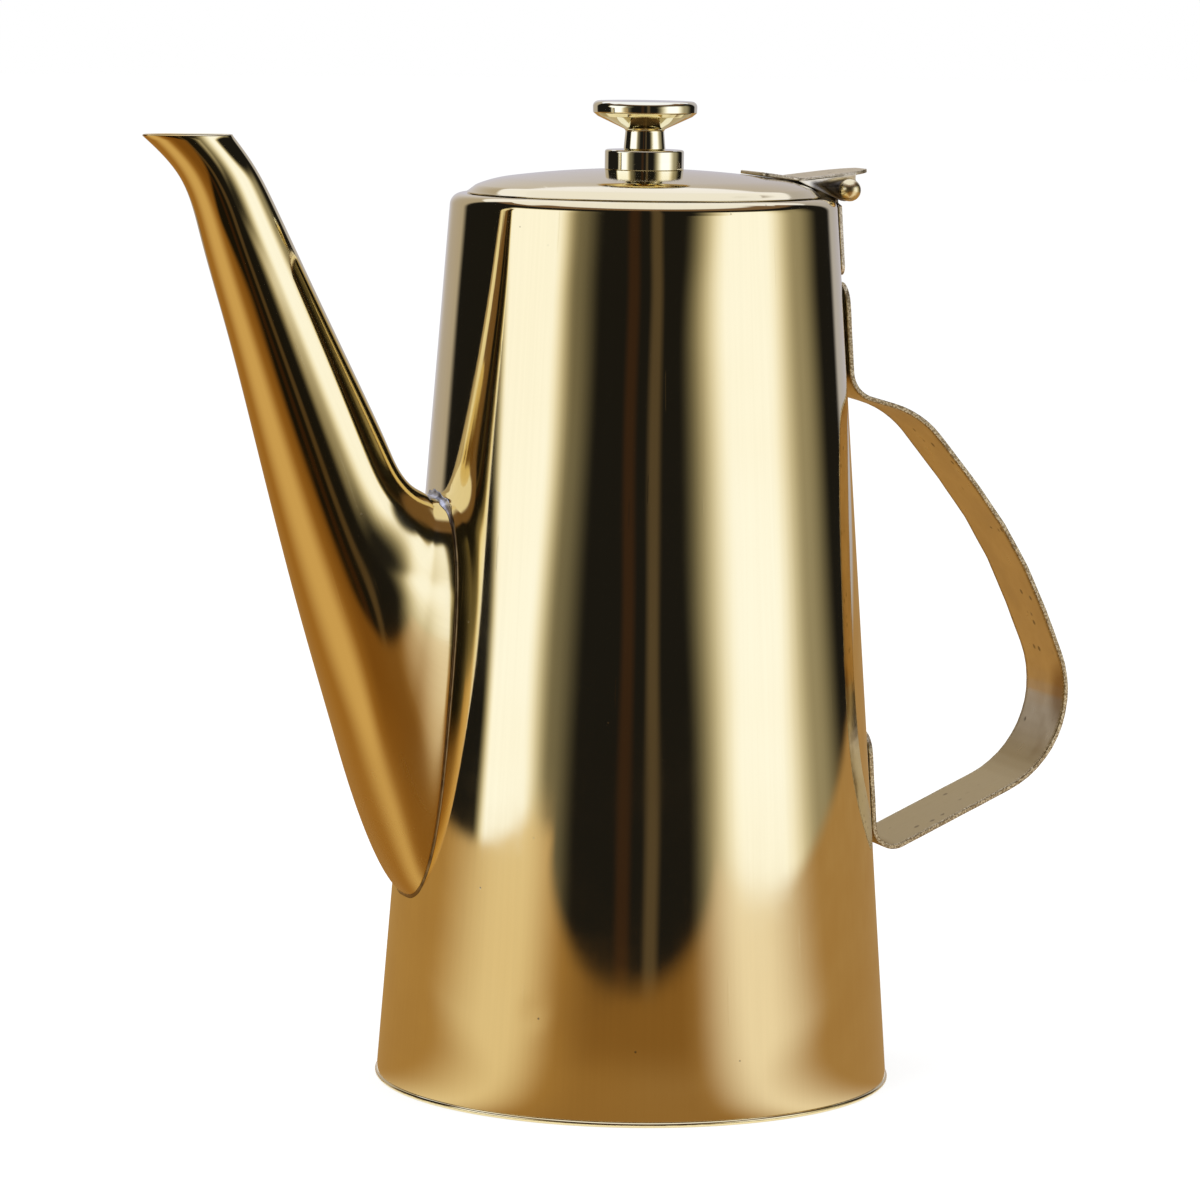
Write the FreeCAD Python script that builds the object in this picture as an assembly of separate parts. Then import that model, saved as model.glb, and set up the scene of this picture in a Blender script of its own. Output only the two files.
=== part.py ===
import FreeCAD, Part
import math
import os

from FreeCAD import Vector

# A tall conical coffee pot in gold-toned sheet steel: a long spout towards -X, a strap handle
# towards +X and a domed lid that hinges above the handle. Millimetres, +Z up. The origin is the
# centre of the base, on the surface that the pot stands on. XZ is the plane of symmetry.

# Sheet and fits
SHEET = 0.6                  # wall of the body, base and lid
SEAT_GAP = 0.3               # lid above the rim that carries it
WELD_GAP = 0.2               # flat strap off the round wall, bridged by the spot welds
PIN_CLEARANCE = 0.05         # radial, hinge pin in its knuckle and ears
SCREW_CLEARANCE = 0.25       # radial, screw in the collar, the lid and the washer
THREAD_CLEARANCE = 0.05      # radial, screw in the threaded bore of the knob
SWING_CLEARANCE = 0.4        # between hinge pieces that pass each other

# Body
BASE_RADIUS = 60.0           # wall line, carried down to the table
RIM_RADIUS = 44.6            # wall line, carried up to the rim
BODY_HEIGHT = 206.5          # top of the shoulder
SHOULDER_RADIUS = 2.8
MOUTH_INSET = 6.8            # edge of the mouth inside the wall line at the rim
MOUTH_LIP_RADIUS = 1.2
MOUTH_LIP_DEPTH = 3.2

# Base
BASE_SEAT = 1.2              # underside of the wall, on the flange of the base
BASE_PROUD = 0.4             # edge of the base outside the wall
BASE_RING_WIDTH = 6.0        # flat ring that meets the table
BASE_RECESS = 2.0            # middle of the base above the table
BASE_STEP_RUN = 3.0          # slope between the ring and the raised middle

# Strainer holes in the wall behind the spout
STRAINER_HOLE_RADIUS = 2.2
STRAINER_HEEL_SPACE = 18.0   # lowest row above the heel of the spout
STRAINER_TOP_SPACE = 15.0    # highest row below the throat of the spout
STRAINER_ROWS = 7
STRAINER_COLUMN_STEP = 7.0

# Spout: reach is measured outwards from the wall line at the same height
SPOUT_SHEET = 0.7
SPOUT_HEEL_HEIGHT = 44.0
SPOUT_THROAT_HEIGHT = 137.4
SPOUT_RIM_HEIGHT = 220.0
SPOUT_LIP_REACH = 75.9
SPOUT_BACK_REACH = 55.0
SPOUT_ROOT_HALF_WIDTH = 16.4
SPOUT_RIM_HALF_WIDTH = 7.4
SPOUT_ROOT_DEPTH = 3.0       # root carried inside the wall line before it is trimmed
SPOUT_BEAD = 0.9

# Handle strap
HANDLE_WIDTH = 22.0
HANDLE_SHEET = 1.1
HANDLE_SPACE = 1.5           # top of the strap below the hinge bracket
HANDLE_UPPER_TAB = 25.9      # down the wall, from the top to the upper bend
HANDLE_BROW_DROP = 5.0       # below the upper bend
HANDLE_BROW_REACH = 18.0
HANDLE_CREST_DROP = 31.0     # below the brow
HANDLE_CREST_REACH = 41.4
HANDLE_GRIP_DROP = 48.8      # below the crest
HANDLE_GRIP_REACH = 58.2
HANDLE_LEG_DROP = 25.4       # from the grip down to the lower bend
HANDLE_LOWER_TAB = 30.0      # back up the wall, from the lower bend
HANDLE_BEND_RADII = (7.0, 24.0, 120.0, 25.0, 5.0)
HANDLE_CORNER = 5.0

# Hinge
PIN_RADIUS = 1.25
PIN_RISE = 1.5               # pin axis above the rim
KNUCKLE_RADIUS = 2.2
BRACKET_SHEET = 0.9
BRACKET_WIDTH = 18.0
BRACKET_DROP = 18.5          # lower end below the rim
BALL_RADIUS = 2.6
BALL_GAP = 0.3

# Lid
LID_INSET = 3.6              # edge of the lid inside the wall line at the rim
LID_RISE = 5.1               # crown above the edge
CROWN_RADIUS = 190.0
EDGE_BAND = 11.0             # width of the steeper band round the crown
SKIRT_CLEARANCE = 0.8
SKIRT_DEPTH = 5.0            # below the rim
SKIRT_FLANGE = 4.0

# Leaf of the hinge, on the lid
LEAF_SHEET = 0.8
LEAF_WIDTH = 16.0
LEAF_START_INSET = 16.0      # inner end of the pad, from the edge of the lid
LEAF_BEND_INSET = 6.5        # bend of the leaf, from the edge of the lid
LEAF_SEAT_RUN = 3.5          # from the bend back to where the pad lies nearest to the lid
LEAF_GAP = 0.15
TAB_SLOPE = 6.5
TAB_OVERHANG = 7.6           # round end of the thumb tab outside the pin
EAR_RUN = 3.5                # from the bend to the ears
EAR_RADIUS = 2.7

# Knob
COLLAR_RADIUS = 9.15
COLLAR_HEIGHT = 4.4
NECK_FOOT_RADIUS = 4.85
NECK_TOP_RADIUS = 4.45
NECK_HEIGHT = 4.6
DISC_RADIUS = 12.1
DISC_UNDER_RADIUS = 10.9
DISC_CONE_HEIGHT = 3.0
DISC_RIM_HEIGHT = 3.6
DISC_RIM_ROUND = 1.5
SCREW_RADIUS = 2.0
SCREW_HEAD_RADIUS = 3.8
SCREW_HEAD_HEIGHT = 2.2
SCREW_BITE = 6.0             # thread inside the knob
WASHER_RADIUS = 5.5
WASHER_SHEET = 0.8

# Spot welds
WELD_RADIUS = 2.2
WELD_PITCH = 8.0

TAPER = (BASE_RADIUS - RIM_RADIUS) / BODY_HEIGHT
LEAN = math.atan(TAPER)
PIN_Z = BODY_HEIGHT + PIN_RISE
BRACKET_BOTTOM = BODY_HEIGHT - BRACKET_DROP
HANDLE_TOP = BRACKET_BOTTOM - HANDLE_SPACE
HANDLE_UPPER_BEND = HANDLE_TOP - HANDLE_UPPER_TAB
HANDLE_BROW = HANDLE_UPPER_BEND - HANDLE_BROW_DROP
HANDLE_CREST = HANDLE_BROW - HANDLE_CREST_DROP
HANDLE_GRIP = HANDLE_CREST - HANDLE_GRIP_DROP
HANDLE_LOWER_BEND = HANDLE_GRIP - HANDLE_LEG_DROP
HANDLE_LOWER_TOP = HANDLE_LOWER_BEND + HANDLE_LOWER_TAB
MOUTH_RADIUS = RIM_RADIUS - MOUTH_INSET
SKIRT_RADIUS = MOUTH_RADIUS - SKIRT_CLEARANCE
LID_RADIUS = RIM_RADIUS - LID_INSET
LID_TOP = BODY_HEIGHT + SEAT_GAP + SHEET + LID_RISE
CROWN_REACH = LID_RADIUS - EDGE_BAND
LEAF_START = LID_RADIUS - LEAF_START_INSET
LEAF_BEND = LID_RADIUS - LEAF_BEND_INSET
LEAF_SEAT = LEAF_BEND - LEAF_SEAT_RUN
EAR_START = LEAF_BEND + EAR_RUN
FAR = 4.0 * BASE_RADIUS


def wall_radius(z):
    """Outer radius of the straight wall, or of its line carried on, at height z."""
    return BASE_RADIUS - TAPER * z


PIN_X = wall_radius(PIN_Z) + WELD_GAP + KNUCKLE_RADIUS
TAB_TIP = PIN_X + TAB_OVERHANG


class Outline:
    """A closed outline in the XZ plane, drawn with straight runs and arcs."""

    def __init__(self, x, z):
        self.first = self.last = Vector(x, 0, z)
        self.edges = []

    def line(self, x, z):
        end = Vector(x, 0, z)
        if self.last.distanceToPoint(end) > 1e-6:
            self.edges.append(Part.LineSegment(self.last, end).toShape())
            self.last = end
        return self

    def arc(self, through, end):
        middle, end = Vector(through[0], 0, through[1]), Vector(end[0], 0, end[1])
        self.edges.append(Part.Arc(self.last, middle, end).toShape())
        self.last = end
        return self

    def face(self):
        self.line(self.first.x, self.first.z)
        return Part.Face(Part.Wire(self.edges))


def turned(outline):
    """The outline turned about the pot's axis."""
    return outline.face().revolve(Vector(0, 0, 0), Vector(0, 0, 1), 360)


def extruded(face, width, middle=0.0):
    """A face of the XZ plane, made into a plate of that width across Y."""
    plate = face.extrude(Vector(0, width, 0))
    plate.translate(Vector(0, middle - width / 2, 0))
    return plate


def ring(inner, outer, low, high):
    """An upright ring about the pot's axis."""
    tube = Part.makeCylinder(outer, high - low, Vector(0, 0, low))
    if inner > 0:
        tube = tube.cut(Part.makeCylinder(inner, high - low, Vector(0, 0, low)))
    return tube


def on_circle(centre, radius, angle):
    """A point of a circle in the XZ plane, its angle measured from +X towards +Z."""
    return centre[0] + radius * math.cos(angle), centre[1] + radius * math.sin(angle)


def solid_wall(grown=0.0):
    """The body's outer cone as a solid, or one grown outwards."""
    return Part.makeCone(BASE_RADIUS + grown, RIM_RADIUS + grown, BODY_HEIGHT)


def shoulder_centre():
    """Centre of the arc that joins the straight wall and the flat rim."""
    z = BODY_HEIGHT - SHOULDER_RADIUS
    return wall_radius(z) - SHOULDER_RADIUS / math.cos(LEAN), z


def body_outline():
    """Half section of the sheet wall, its round shoulder and the lip turned down into the mouth."""
    centre = shoulder_centre()
    half = (LEAN + math.pi / 2) / 2
    inner_shoulder = SHOULDER_RADIUS - SHEET
    across = SHEET / math.cos(LEAN)
    lip = (MOUTH_RADIUS + MOUTH_LIP_RADIUS, BODY_HEIGHT - MOUTH_LIP_RADIUS)
    lip_foot = BODY_HEIGHT - MOUTH_LIP_DEPTH
    lip_turn = math.pi * 3 / 4
    inner_lip = MOUTH_LIP_RADIUS - SHEET
    o = Outline(wall_radius(BASE_SEAT), BASE_SEAT)
    o.line(*on_circle(centre, SHOULDER_RADIUS, LEAN))
    o.arc(on_circle(centre, SHOULDER_RADIUS, half), (centre[0], BODY_HEIGHT))
    o.line(lip[0], BODY_HEIGHT)
    o.arc(on_circle(lip, MOUTH_LIP_RADIUS, lip_turn), (MOUTH_RADIUS, lip[1]))
    o.line(MOUTH_RADIUS, lip_foot)
    o.line(MOUTH_RADIUS + SHEET, lip_foot)
    o.line(MOUTH_RADIUS + SHEET, lip[1])
    o.arc(on_circle(lip, inner_lip, lip_turn), (lip[0], BODY_HEIGHT - SHEET))
    o.line(centre[0], BODY_HEIGHT - SHEET)
    o.arc(on_circle(centre, inner_shoulder, half), on_circle(centre, inner_shoulder, LEAN))
    o.line(wall_radius(BASE_SEAT) - across, BASE_SEAT)
    return o


def strainer_holes():
    """Drills through the wall behind the spout, in three staggered columns."""
    low = SPOUT_HEEL_HEIGHT + STRAINER_HEEL_SPACE
    pitch = (SPOUT_THROAT_HEIGHT - STRAINER_TOP_SPACE - low) / (STRAINER_ROWS - 1)
    drills = []
    for row in range(STRAINER_ROWS):
        columns = (-1, 0, 1) if row % 2 == 0 else (-0.5, 0.5)
        for column in columns:
            start = Vector(-FAR, column * STRAINER_COLUMN_STEP, low + row * pitch)
            drills.append(Part.makeCylinder(STRAINER_HOLE_RADIUS, FAR, start, Vector(1, 0, 0)))
    return drills


def make_body_shell():
    return turned(body_outline()).cut(strainer_holes())


def make_base_disc():
    """A dished disc: a round edge under the wall, a flat ring on the table and a raised middle."""
    edge = BASE_SEAT / 2
    rim = wall_radius(BASE_SEAT) + BASE_PROUD - edge
    ring_inner = rim - BASE_RING_WIDTH
    middle = ring_inner - BASE_STEP_RUN
    step = SHEET * math.tan(math.atan2(BASE_RECESS, BASE_STEP_RUN) / 2)
    flange = wall_radius(BASE_SEAT) - SHEET / math.cos(LEAN) - SHEET
    o = Outline(0, BASE_RECESS)
    o.line(middle, BASE_RECESS)
    o.line(ring_inner, 0)
    o.line(rim, 0)
    o.arc((rim + edge, edge), (rim, BASE_SEAT))
    o.line(flange, BASE_SEAT)
    o.line(flange, SHEET)
    o.line(ring_inner + step, SHEET)
    o.line(middle + step, BASE_RECESS + SHEET)
    o.line(0, BASE_RECESS + SHEET)
    return turned(o)


# Each station of the spout runs from its keel, on the outer side, to its throat, on the inner
# side: keel reach, keel height, throat reach, throat height, half width and squareness.
SPOUT_STATIONS = (
    (-SPOUT_ROOT_DEPTH, SPOUT_HEEL_HEIGHT - 1.0,
     -SPOUT_ROOT_DEPTH, SPOUT_THROAT_HEIGHT - 0.4, SPOUT_ROOT_HALF_WIDTH - 0.6, 3.0),
    (1.2, SPOUT_HEEL_HEIGHT + 2.5,
     1.0, SPOUT_THROAT_HEIGHT, SPOUT_ROOT_HALF_WIDTH - 0.2, 3.0),
    (9.4, SPOUT_HEEL_HEIGHT + 16.0,
     3.2, SPOUT_THROAT_HEIGHT + 0.9, SPOUT_ROOT_HALF_WIDTH, 2.7),
    (19.0, SPOUT_HEEL_HEIGHT + 39.0,
     6.2, SPOUT_THROAT_HEIGHT + 2.7, SPOUT_ROOT_HALF_WIDTH - 0.2, 2.4),
    (29.4, SPOUT_HEEL_HEIGHT + 66.0,
     10.0, SPOUT_THROAT_HEIGHT + 6.8, SPOUT_ROOT_HALF_WIDTH - 0.9, 2.15),
    (40.4, SPOUT_HEEL_HEIGHT + 97.0,
     14.2, SPOUT_THROAT_HEIGHT + 14.6, SPOUT_ROOT_HALF_WIDTH - 2.2, 2.0),
    (53.6, SPOUT_RIM_HEIGHT - 41.0,
     34.0, SPOUT_RIM_HEIGHT - 33.2, SPOUT_RIM_HALF_WIDTH + 3.3, 2.0),
    (60.6, SPOUT_RIM_HEIGHT - 22.0,
     44.0, SPOUT_RIM_HEIGHT - 15.5, SPOUT_RIM_HALF_WIDTH + 1.5, 2.0),
    (66.2, SPOUT_RIM_HEIGHT - 9.5,
     49.3, SPOUT_RIM_HEIGHT - 7.0, SPOUT_RIM_HALF_WIDTH + 0.5, 2.0),
    (SPOUT_LIP_REACH, SPOUT_RIM_HEIGHT,
     SPOUT_BACK_REACH, SPOUT_RIM_HEIGHT, SPOUT_RIM_HALF_WIDTH, 2.0),
)
SPOUT_SECTION_POINTS = 24


def spout_section(station, grown):
    """A closed superellipse across the spout, between its keel and its throat."""
    keel_reach, keel_z, throat_reach, throat_z, half_width, squareness = station
    keel = Vector(-wall_radius(keel_z) - keel_reach, 0, keel_z)
    throat = Vector(-wall_radius(throat_z) - throat_reach, 0, throat_z)
    middle = (keel + throat) * 0.5
    along = keel - throat
    half_length = along.Length / 2 + grown
    along.normalize()
    across = Vector(0, half_width + grown, 0)
    power = 2.0 / squareness
    points = []
    for i in range(SPOUT_SECTION_POINTS):
        turn = 2 * math.pi * i / SPOUT_SECTION_POINTS
        c, s = math.cos(turn), math.sin(turn)
        u = math.copysign(abs(c) ** power, c)
        v = math.copysign(abs(s) ** power, s)
        points.append(middle + along * (half_length * u) + across * v)
    steps = [i / SPOUT_SECTION_POINTS for i in range(SPOUT_SECTION_POINTS + 1)]
    curve = Part.BSplineCurve()
    curve.interpolate(Points=points, PeriodicFlag=True, Parameters=steps)
    return curve, middle


def spout_solid(grown=0.0):
    """The spout's outer form as a solid, or one grown or shrunk by its skin.

    One smooth surface is carried through all the sections, and a flat face closes each end.
    """
    sections = [spout_section(s, grown) for s in SPOUT_STATIONS]
    rings = [curve for curve, middle in sections]
    way = [0.0]
    for (curve, a), (following, b) in zip(sections, sections[1:]):
        way.append(way[-1] + a.distanceToPoint(b))
    ribs = []
    for row in zip(*[r.getPoles() for r in rings]):
        rib = Part.BSplineCurve()
        rib.interpolate(Points=list(row), Parameters=way)
        ribs.append(rib)
    skin = Part.BSplineSurface()
    skin.buildFromPolesMultsKnots(
        [r.getPoles() for r in ribs],
        rings[0].getMultiplicities(), ribs[0].getMultiplicities(),
        rings[0].getKnots(), ribs[0].getKnots(),
        True, False, rings[0].Degree, ribs[0].Degree)
    side = skin.toShape()
    caps = [Part.Face(Part.Wire([r.toShape()])) for r in (rings[0], rings[-1])]
    shell = Part.makeShell([side] + caps)
    shell.sewShape()
    solid = Part.Solid(shell)
    if solid.Volume < 0:
        solid.reverse()
    return solid


def make_spout():
    return spout_solid().cut(spout_solid(-SPOUT_SHEET)).cut(solid_wall())


def make_spout_weld_bead():
    """A bead in the corner between the spout and the wall, all round the root."""
    corner = spout_solid(SPOUT_BEAD).common(solid_wall(SPOUT_BEAD))
    return corner.cut(spout_solid()).cut(solid_wall())


def rounded_strip(points, radii, thickness):
    """A face of constant thickness along a path with its corners rounded to the radii."""
    sides = {1: [], -1: []}
    half = thickness / 2

    def across(a, b):
        run = (b - a).normalize()
        return Vector(-run.z, 0, run.x)

    for side, edges in sides.items():
        last = points[0] + across(points[0], points[1]) * (side * half)
        for before, corner, after, radius in zip(points, points[1:], points[2:], radii):
            come, go = (corner - before).normalize(), (after - corner).normalize()
            turn = come.getAngle(go)
            cut = radius * math.tan(turn / 2)
            start, end = corner - come * cut, corner + go * cut
            inwards = (go - come).normalize()
            centre = corner + inwards * (radius / math.cos(turn / 2))
            bulge = centre - inwards * radius
            grown = -side if across(before, corner).dot(inwards) > 0 else side
            scale = (radius + grown * half) / radius
            pushed = [centre + (p - centre) * scale for p in (start, bulge, end)]
            edges.append(Part.LineSegment(last, pushed[0]).toShape())
            edges.append(Part.Arc(*pushed).toShape())
            last = pushed[2]
        final = points[-1] + across(points[-2], points[-1]) * (side * half)
        edges.append(Part.LineSegment(last, final).toShape())
    ends = [Part.LineSegment(sides[1][i].Vertexes[j].Point, sides[-1][i].Vertexes[j].Point).toShape()
            for i, j in ((0, 0), (-1, -1))]
    wire = Part.Wire(Part.sortEdges(sides[1] + sides[-1] + ends)[0])
    return Part.Face(wire)


def handle_path():
    """Middle line of the strap: upper tab, brow, crest, grip and lower tab."""
    off_wall = WELD_GAP + HANDLE_SHEET / 2
    places = (
        (off_wall, HANDLE_TOP),
        (off_wall, HANDLE_UPPER_BEND),
        (HANDLE_BROW_REACH, HANDLE_BROW),
        (HANDLE_CREST_REACH, HANDLE_CREST),
        (HANDLE_GRIP_REACH, HANDLE_GRIP),
        (off_wall, HANDLE_LOWER_BEND),
        (off_wall, HANDLE_LOWER_TOP),
    )
    return [Vector(wall_radius(z) + reach, 0, z) for reach, z in places]


def make_handle_strap():
    strap = extruded(rounded_strip(handle_path(), HANDLE_BEND_RADII, HANDLE_SHEET), HANDLE_WIDTH)
    tops = (HANDLE_TOP, HANDLE_LOWER_TOP)
    corners = []
    for edge in strap.Edges:
        middle = edge.CenterOfMass
        short = abs(edge.Length - HANDLE_SHEET) < 1e-3
        at_tab = min(abs(middle.z - z) for z in tops) < HANDLE_SHEET
        if short and at_tab:
            corners.append(edge)
    return strap.makeFillet(HANDLE_CORNER, corners)


def wall_weld(z, plate):
    """A spot weld at height z that fills the gap between the wall and a flat strap."""
    start = Vector(wall_radius(z) - SHEET, 0, z)
    nugget = Part.makeCylinder(WELD_RADIUS, SHEET + WELD_GAP + SHEET, start, Vector(1, 0, 0))
    return nugget.cut(solid_wall()).cut(plate).Solids[0]


def make_handle_spot_welds(strap):
    upper = (HANDLE_TOP + HANDLE_UPPER_BEND) / 2 + HANDLE_BEND_RADII[0] / 2
    lower = (HANDLE_LOWER_TOP + HANDLE_LOWER_BEND) / 2 + HANDLE_BEND_RADII[-1] / 2
    places = [middle + step * WELD_PITCH / 2 for middle in (upper, lower) for step in (1, -1)]
    return Part.makeCompound([wall_weld(z, strap) for z in places])


def pin_bore(width):
    """A drill along the hinge axis with the pin's running clearance."""
    start = Vector(PIN_X, -width / 2, PIN_Z)
    return Part.makeCylinder(PIN_RADIUS + PIN_CLEARANCE, width, start, Vector(0, 1, 0))


def knuckle_width():
    """Room between the ears of the lid's leaf, less the clearance on both sides."""
    return LEAF_WIDTH - 2 * (LEAF_SHEET + SWING_CLEARANCE)


def bracket_top():
    """Top of the bracket's wide part, below the sweep of the ears."""
    return PIN_Z - EAR_RADIUS - SWING_CLEARANCE


def make_hinge_bracket():
    """A strap welded to the wall, narrowed between the ears and rolled round the pin."""

    def plate(low, high):
        o = Outline(wall_radius(low) + WELD_GAP, low)
        o.line(wall_radius(low) + WELD_GAP + BRACKET_SHEET, low)
        o.line(wall_radius(high) + WELD_GAP + BRACKET_SHEET, high)
        o.line(wall_radius(high) + WELD_GAP, high)
        return o.face()

    width = knuckle_width()
    wide = extruded(plate(BRACKET_BOTTOM, bracket_top()), BRACKET_WIDTH)
    narrow = extruded(plate(bracket_top(), PIN_Z), width)
    start = Vector(PIN_X, -width / 2, PIN_Z)
    knuckle = Part.makeCylinder(KNUCKLE_RADIUS, width, start, Vector(0, 1, 0))
    return wide.fuse([narrow, knuckle]).removeSplitter().cut(pin_bore(FAR))


def make_bracket_spot_welds(bracket):
    middle = (BRACKET_BOTTOM + bracket_top()) / 2
    return Part.makeCompound([wall_weld(middle + step * WELD_PITCH / 2, bracket) for step in (1, -1)])


def ball_middle():
    """Distance of each ball's centre from the plane of symmetry."""
    return LEAF_WIDTH / 2 + BALL_GAP + BALL_RADIUS


def make_hinge_pin():
    length = 2 * (ball_middle() + BALL_RADIUS / 3)
    start = Vector(PIN_X, -length / 2, PIN_Z)
    return Part.makeCylinder(PIN_RADIUS, length, start, Vector(0, 1, 0))


def make_pin_ball_ends(pin):
    balls = []
    for side in (-1, 1):
        ball = Part.makeSphere(BALL_RADIUS, Vector(PIN_X, side * ball_middle(), PIN_Z))
        balls.append(ball.cut(pin))
    return Part.makeCompound(balls)


def lid_top_angles():
    """Slope of the lid where its crown meets its edge, halfway along the edge, and at the rim."""
    joint = math.asin(CROWN_REACH / CROWN_RADIUS)
    drop = LID_RISE - CROWN_RADIUS * (1 - math.cos(joint))
    chord = math.atan2(drop, LID_RADIUS - CROWN_REACH)
    return joint, chord, 2 * chord - joint


def lid_points(depth):
    """Crown top, crown middle, joint, edge middle and rim of the lid's skin, at that depth."""
    joint, chord, rim = lid_top_angles()
    centre_z = LID_TOP - CROWN_RADIUS
    crown = [(CROWN_RADIUS * math.sin(a), centre_z + CROWN_RADIUS * math.cos(a), a)
             for a in (0, joint / 2, joint)]
    run = LID_RADIUS - CROWN_REACH
    drop = run * math.tan(chord)
    sagitta = math.hypot(run, drop) / 2 * math.tan((chord - joint) / 2)
    start_x, start_z = crown[2][:2]
    edge_middle = (start_x + run / 2 + sagitta * math.sin(chord),
                   start_z - drop / 2 + sagitta * math.cos(chord), chord)
    points = crown + [edge_middle, (LID_RADIUS, start_z - drop, rim)]
    return [(x - depth * math.sin(a), z - depth * math.cos(a)) for x, z, a in points]


def lid_skin(upper, lower):
    """The shell between two depths under the lid's top surface."""
    top, under = lid_points(upper), lid_points(lower)
    o = Outline(*top[0])
    o.arc(top[1], top[2]).arc(top[3], top[4])
    o.line(*under[4])
    o.arc(under[3], under[2]).arc(under[1], under[0])
    return turned(o)


def lid_inside(depth):
    """All that lies under the lid's skin at that depth, down to the rim."""
    under = lid_points(depth)
    floor = BODY_HEIGHT - SKIRT_DEPTH
    o = Outline(*under[0])
    o.arc(under[1], under[2]).arc(under[3], under[4])
    o.line(under[4][0], floor).line(0, floor)
    return turned(o)


def make_lid_dome():
    return lid_skin(0, SHEET).cut(ring(0, SCREW_RADIUS + SCREW_CLEARANCE, 0, FAR))


def make_lid_skirt():
    """The ring that drops into the mouth, with a flange welded under the lid."""
    low, high = BODY_HEIGHT - SKIRT_DEPTH, LID_TOP
    wall = ring(SKIRT_RADIUS - SHEET, SKIRT_RADIUS, low, high).common(lid_inside(SHEET))
    flange = lid_skin(SHEET, 2 * SHEET).common(ring(SKIRT_RADIUS - SKIRT_FLANGE, SKIRT_RADIUS, low, high))
    return wall.fuse(flange).removeSplitter()


def lid_surface(r):
    """Height and slope of the lid's top surface at radius r."""
    joint, chord, rim = lid_top_angles()
    if r <= CROWN_REACH:
        slope = math.asin(r / CROWN_RADIUS)
        return LID_TOP - CROWN_RADIUS * (1 - math.cos(slope)), slope
    edge_radius = (LID_RADIUS - CROWN_REACH) / (math.sin(rim) - math.sin(joint))
    slope = math.asin(math.sin(joint) + (r - CROWN_REACH) / edge_radius)
    start = LID_TOP - CROWN_RADIUS * (1 - math.cos(joint))
    return start - edge_radius * (math.cos(joint) - math.cos(slope)), slope


def leaf_underside():
    """Underside of the leaf in the XZ plane: pad start, bend and tip of the thumb tab."""
    seat_z, slope = lid_surface(LEAF_SEAT)
    seat_z += LEAF_GAP / math.cos(slope)
    start_z = seat_z + (LEAF_SEAT - LEAF_START) * math.tan(slope)
    bend_z = seat_z - (LEAF_BEND - LEAF_SEAT) * math.tan(slope)
    tip_z = bend_z + (TAB_TIP - LEAF_BEND) * math.tan(math.radians(TAB_SLOPE))
    return (LEAF_START, start_z), (LEAF_BEND, bend_z), (TAB_TIP, tip_z)


def make_lid_leaf():
    """The pad on the lid, the raised thumb tab with its round end, and the two ears on the pin."""
    start, bend, tip = leaf_underside()
    o = Outline(*start).line(*bend).line(*tip)
    o.line(tip[0], tip[1] + LEAF_SHEET).line(bend[0], bend[1] + LEAF_SHEET)
    o.line(start[0], start[1] + LEAF_SHEET)
    plate = extruded(o.face(), LEAF_WIDTH)
    tip_centre = Vector(TAB_TIP - LEAF_WIDTH / 2, 0, 0)
    trim = Part.makeBox(TAB_TIP - LEAF_WIDTH / 2, LEAF_WIDTH, FAR * 2, Vector(0, -LEAF_WIDTH / 2, 0))
    trim = trim.fuse(Part.makeCylinder(LEAF_WIDTH / 2, FAR * 2, tip_centre))
    plate = plate.common(trim)
    rise = math.tan(math.radians(TAB_SLOPE))
    ear_left = (EAR_START, bend[1] + (EAR_START - bend[0]) * rise)
    ear_end = PIN_X + EAR_RADIUS
    ear_right = (ear_end, bend[1] + (ear_end - bend[0]) * rise)
    foot = math.atan2(PIN_Z - ear_left[1], PIN_X - ear_left[0])
    touch = math.acos(EAR_RADIUS / math.hypot(PIN_X - ear_left[0], PIN_Z - ear_left[1]))
    leave = foot + math.pi + touch
    ear = Outline(*ear_left)
    ear.line(*on_circle((PIN_X, PIN_Z), EAR_RADIUS, leave))
    ear.arc(on_circle((PIN_X, PIN_Z), EAR_RADIUS, leave / 2 + math.pi), (ear_end, PIN_Z))
    ear.line(*ear_right)
    face = ear.face()
    side = (LEAF_WIDTH - LEAF_SHEET) / 2
    ears = [extruded(face, LEAF_SHEET, side * s) for s in (-1, 1)]
    return plate.fuse(ears).cut(pin_bore(FAR))


def make_leaf_spot_welds(leaf):
    """Two spot welds that fill the gap between the lid and the leaf's pad."""
    welds = []
    z, slope = lid_surface(LEAF_SEAT)
    for side in (-1, 1):
        y = side * WELD_PITCH / 2
        x = math.sqrt(LEAF_SEAT ** 2 - y ** 2)
        nugget = Part.makeCylinder(WELD_RADIUS, 2 * SHEET, Vector(x, y, z - SHEET))
        above = nugget.cut(lid_inside(0)).cut(leaf)
        below_leaf = [s for s in above.Solids if s.CenterOfMass.z < z + LEAF_SHEET]
        welds.append(max(below_leaf, key=lambda s: s.Volume))
    return Part.makeCompound(welds)


def make_knob_collar():
    """A turned ring that stands on the crown of the lid."""
    drum = ring(SCREW_RADIUS + SCREW_CLEARANCE, COLLAR_RADIUS, LID_TOP - SHEET, LID_TOP + COLLAR_HEIGHT)
    return drum.cut(lid_inside(0))


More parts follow.
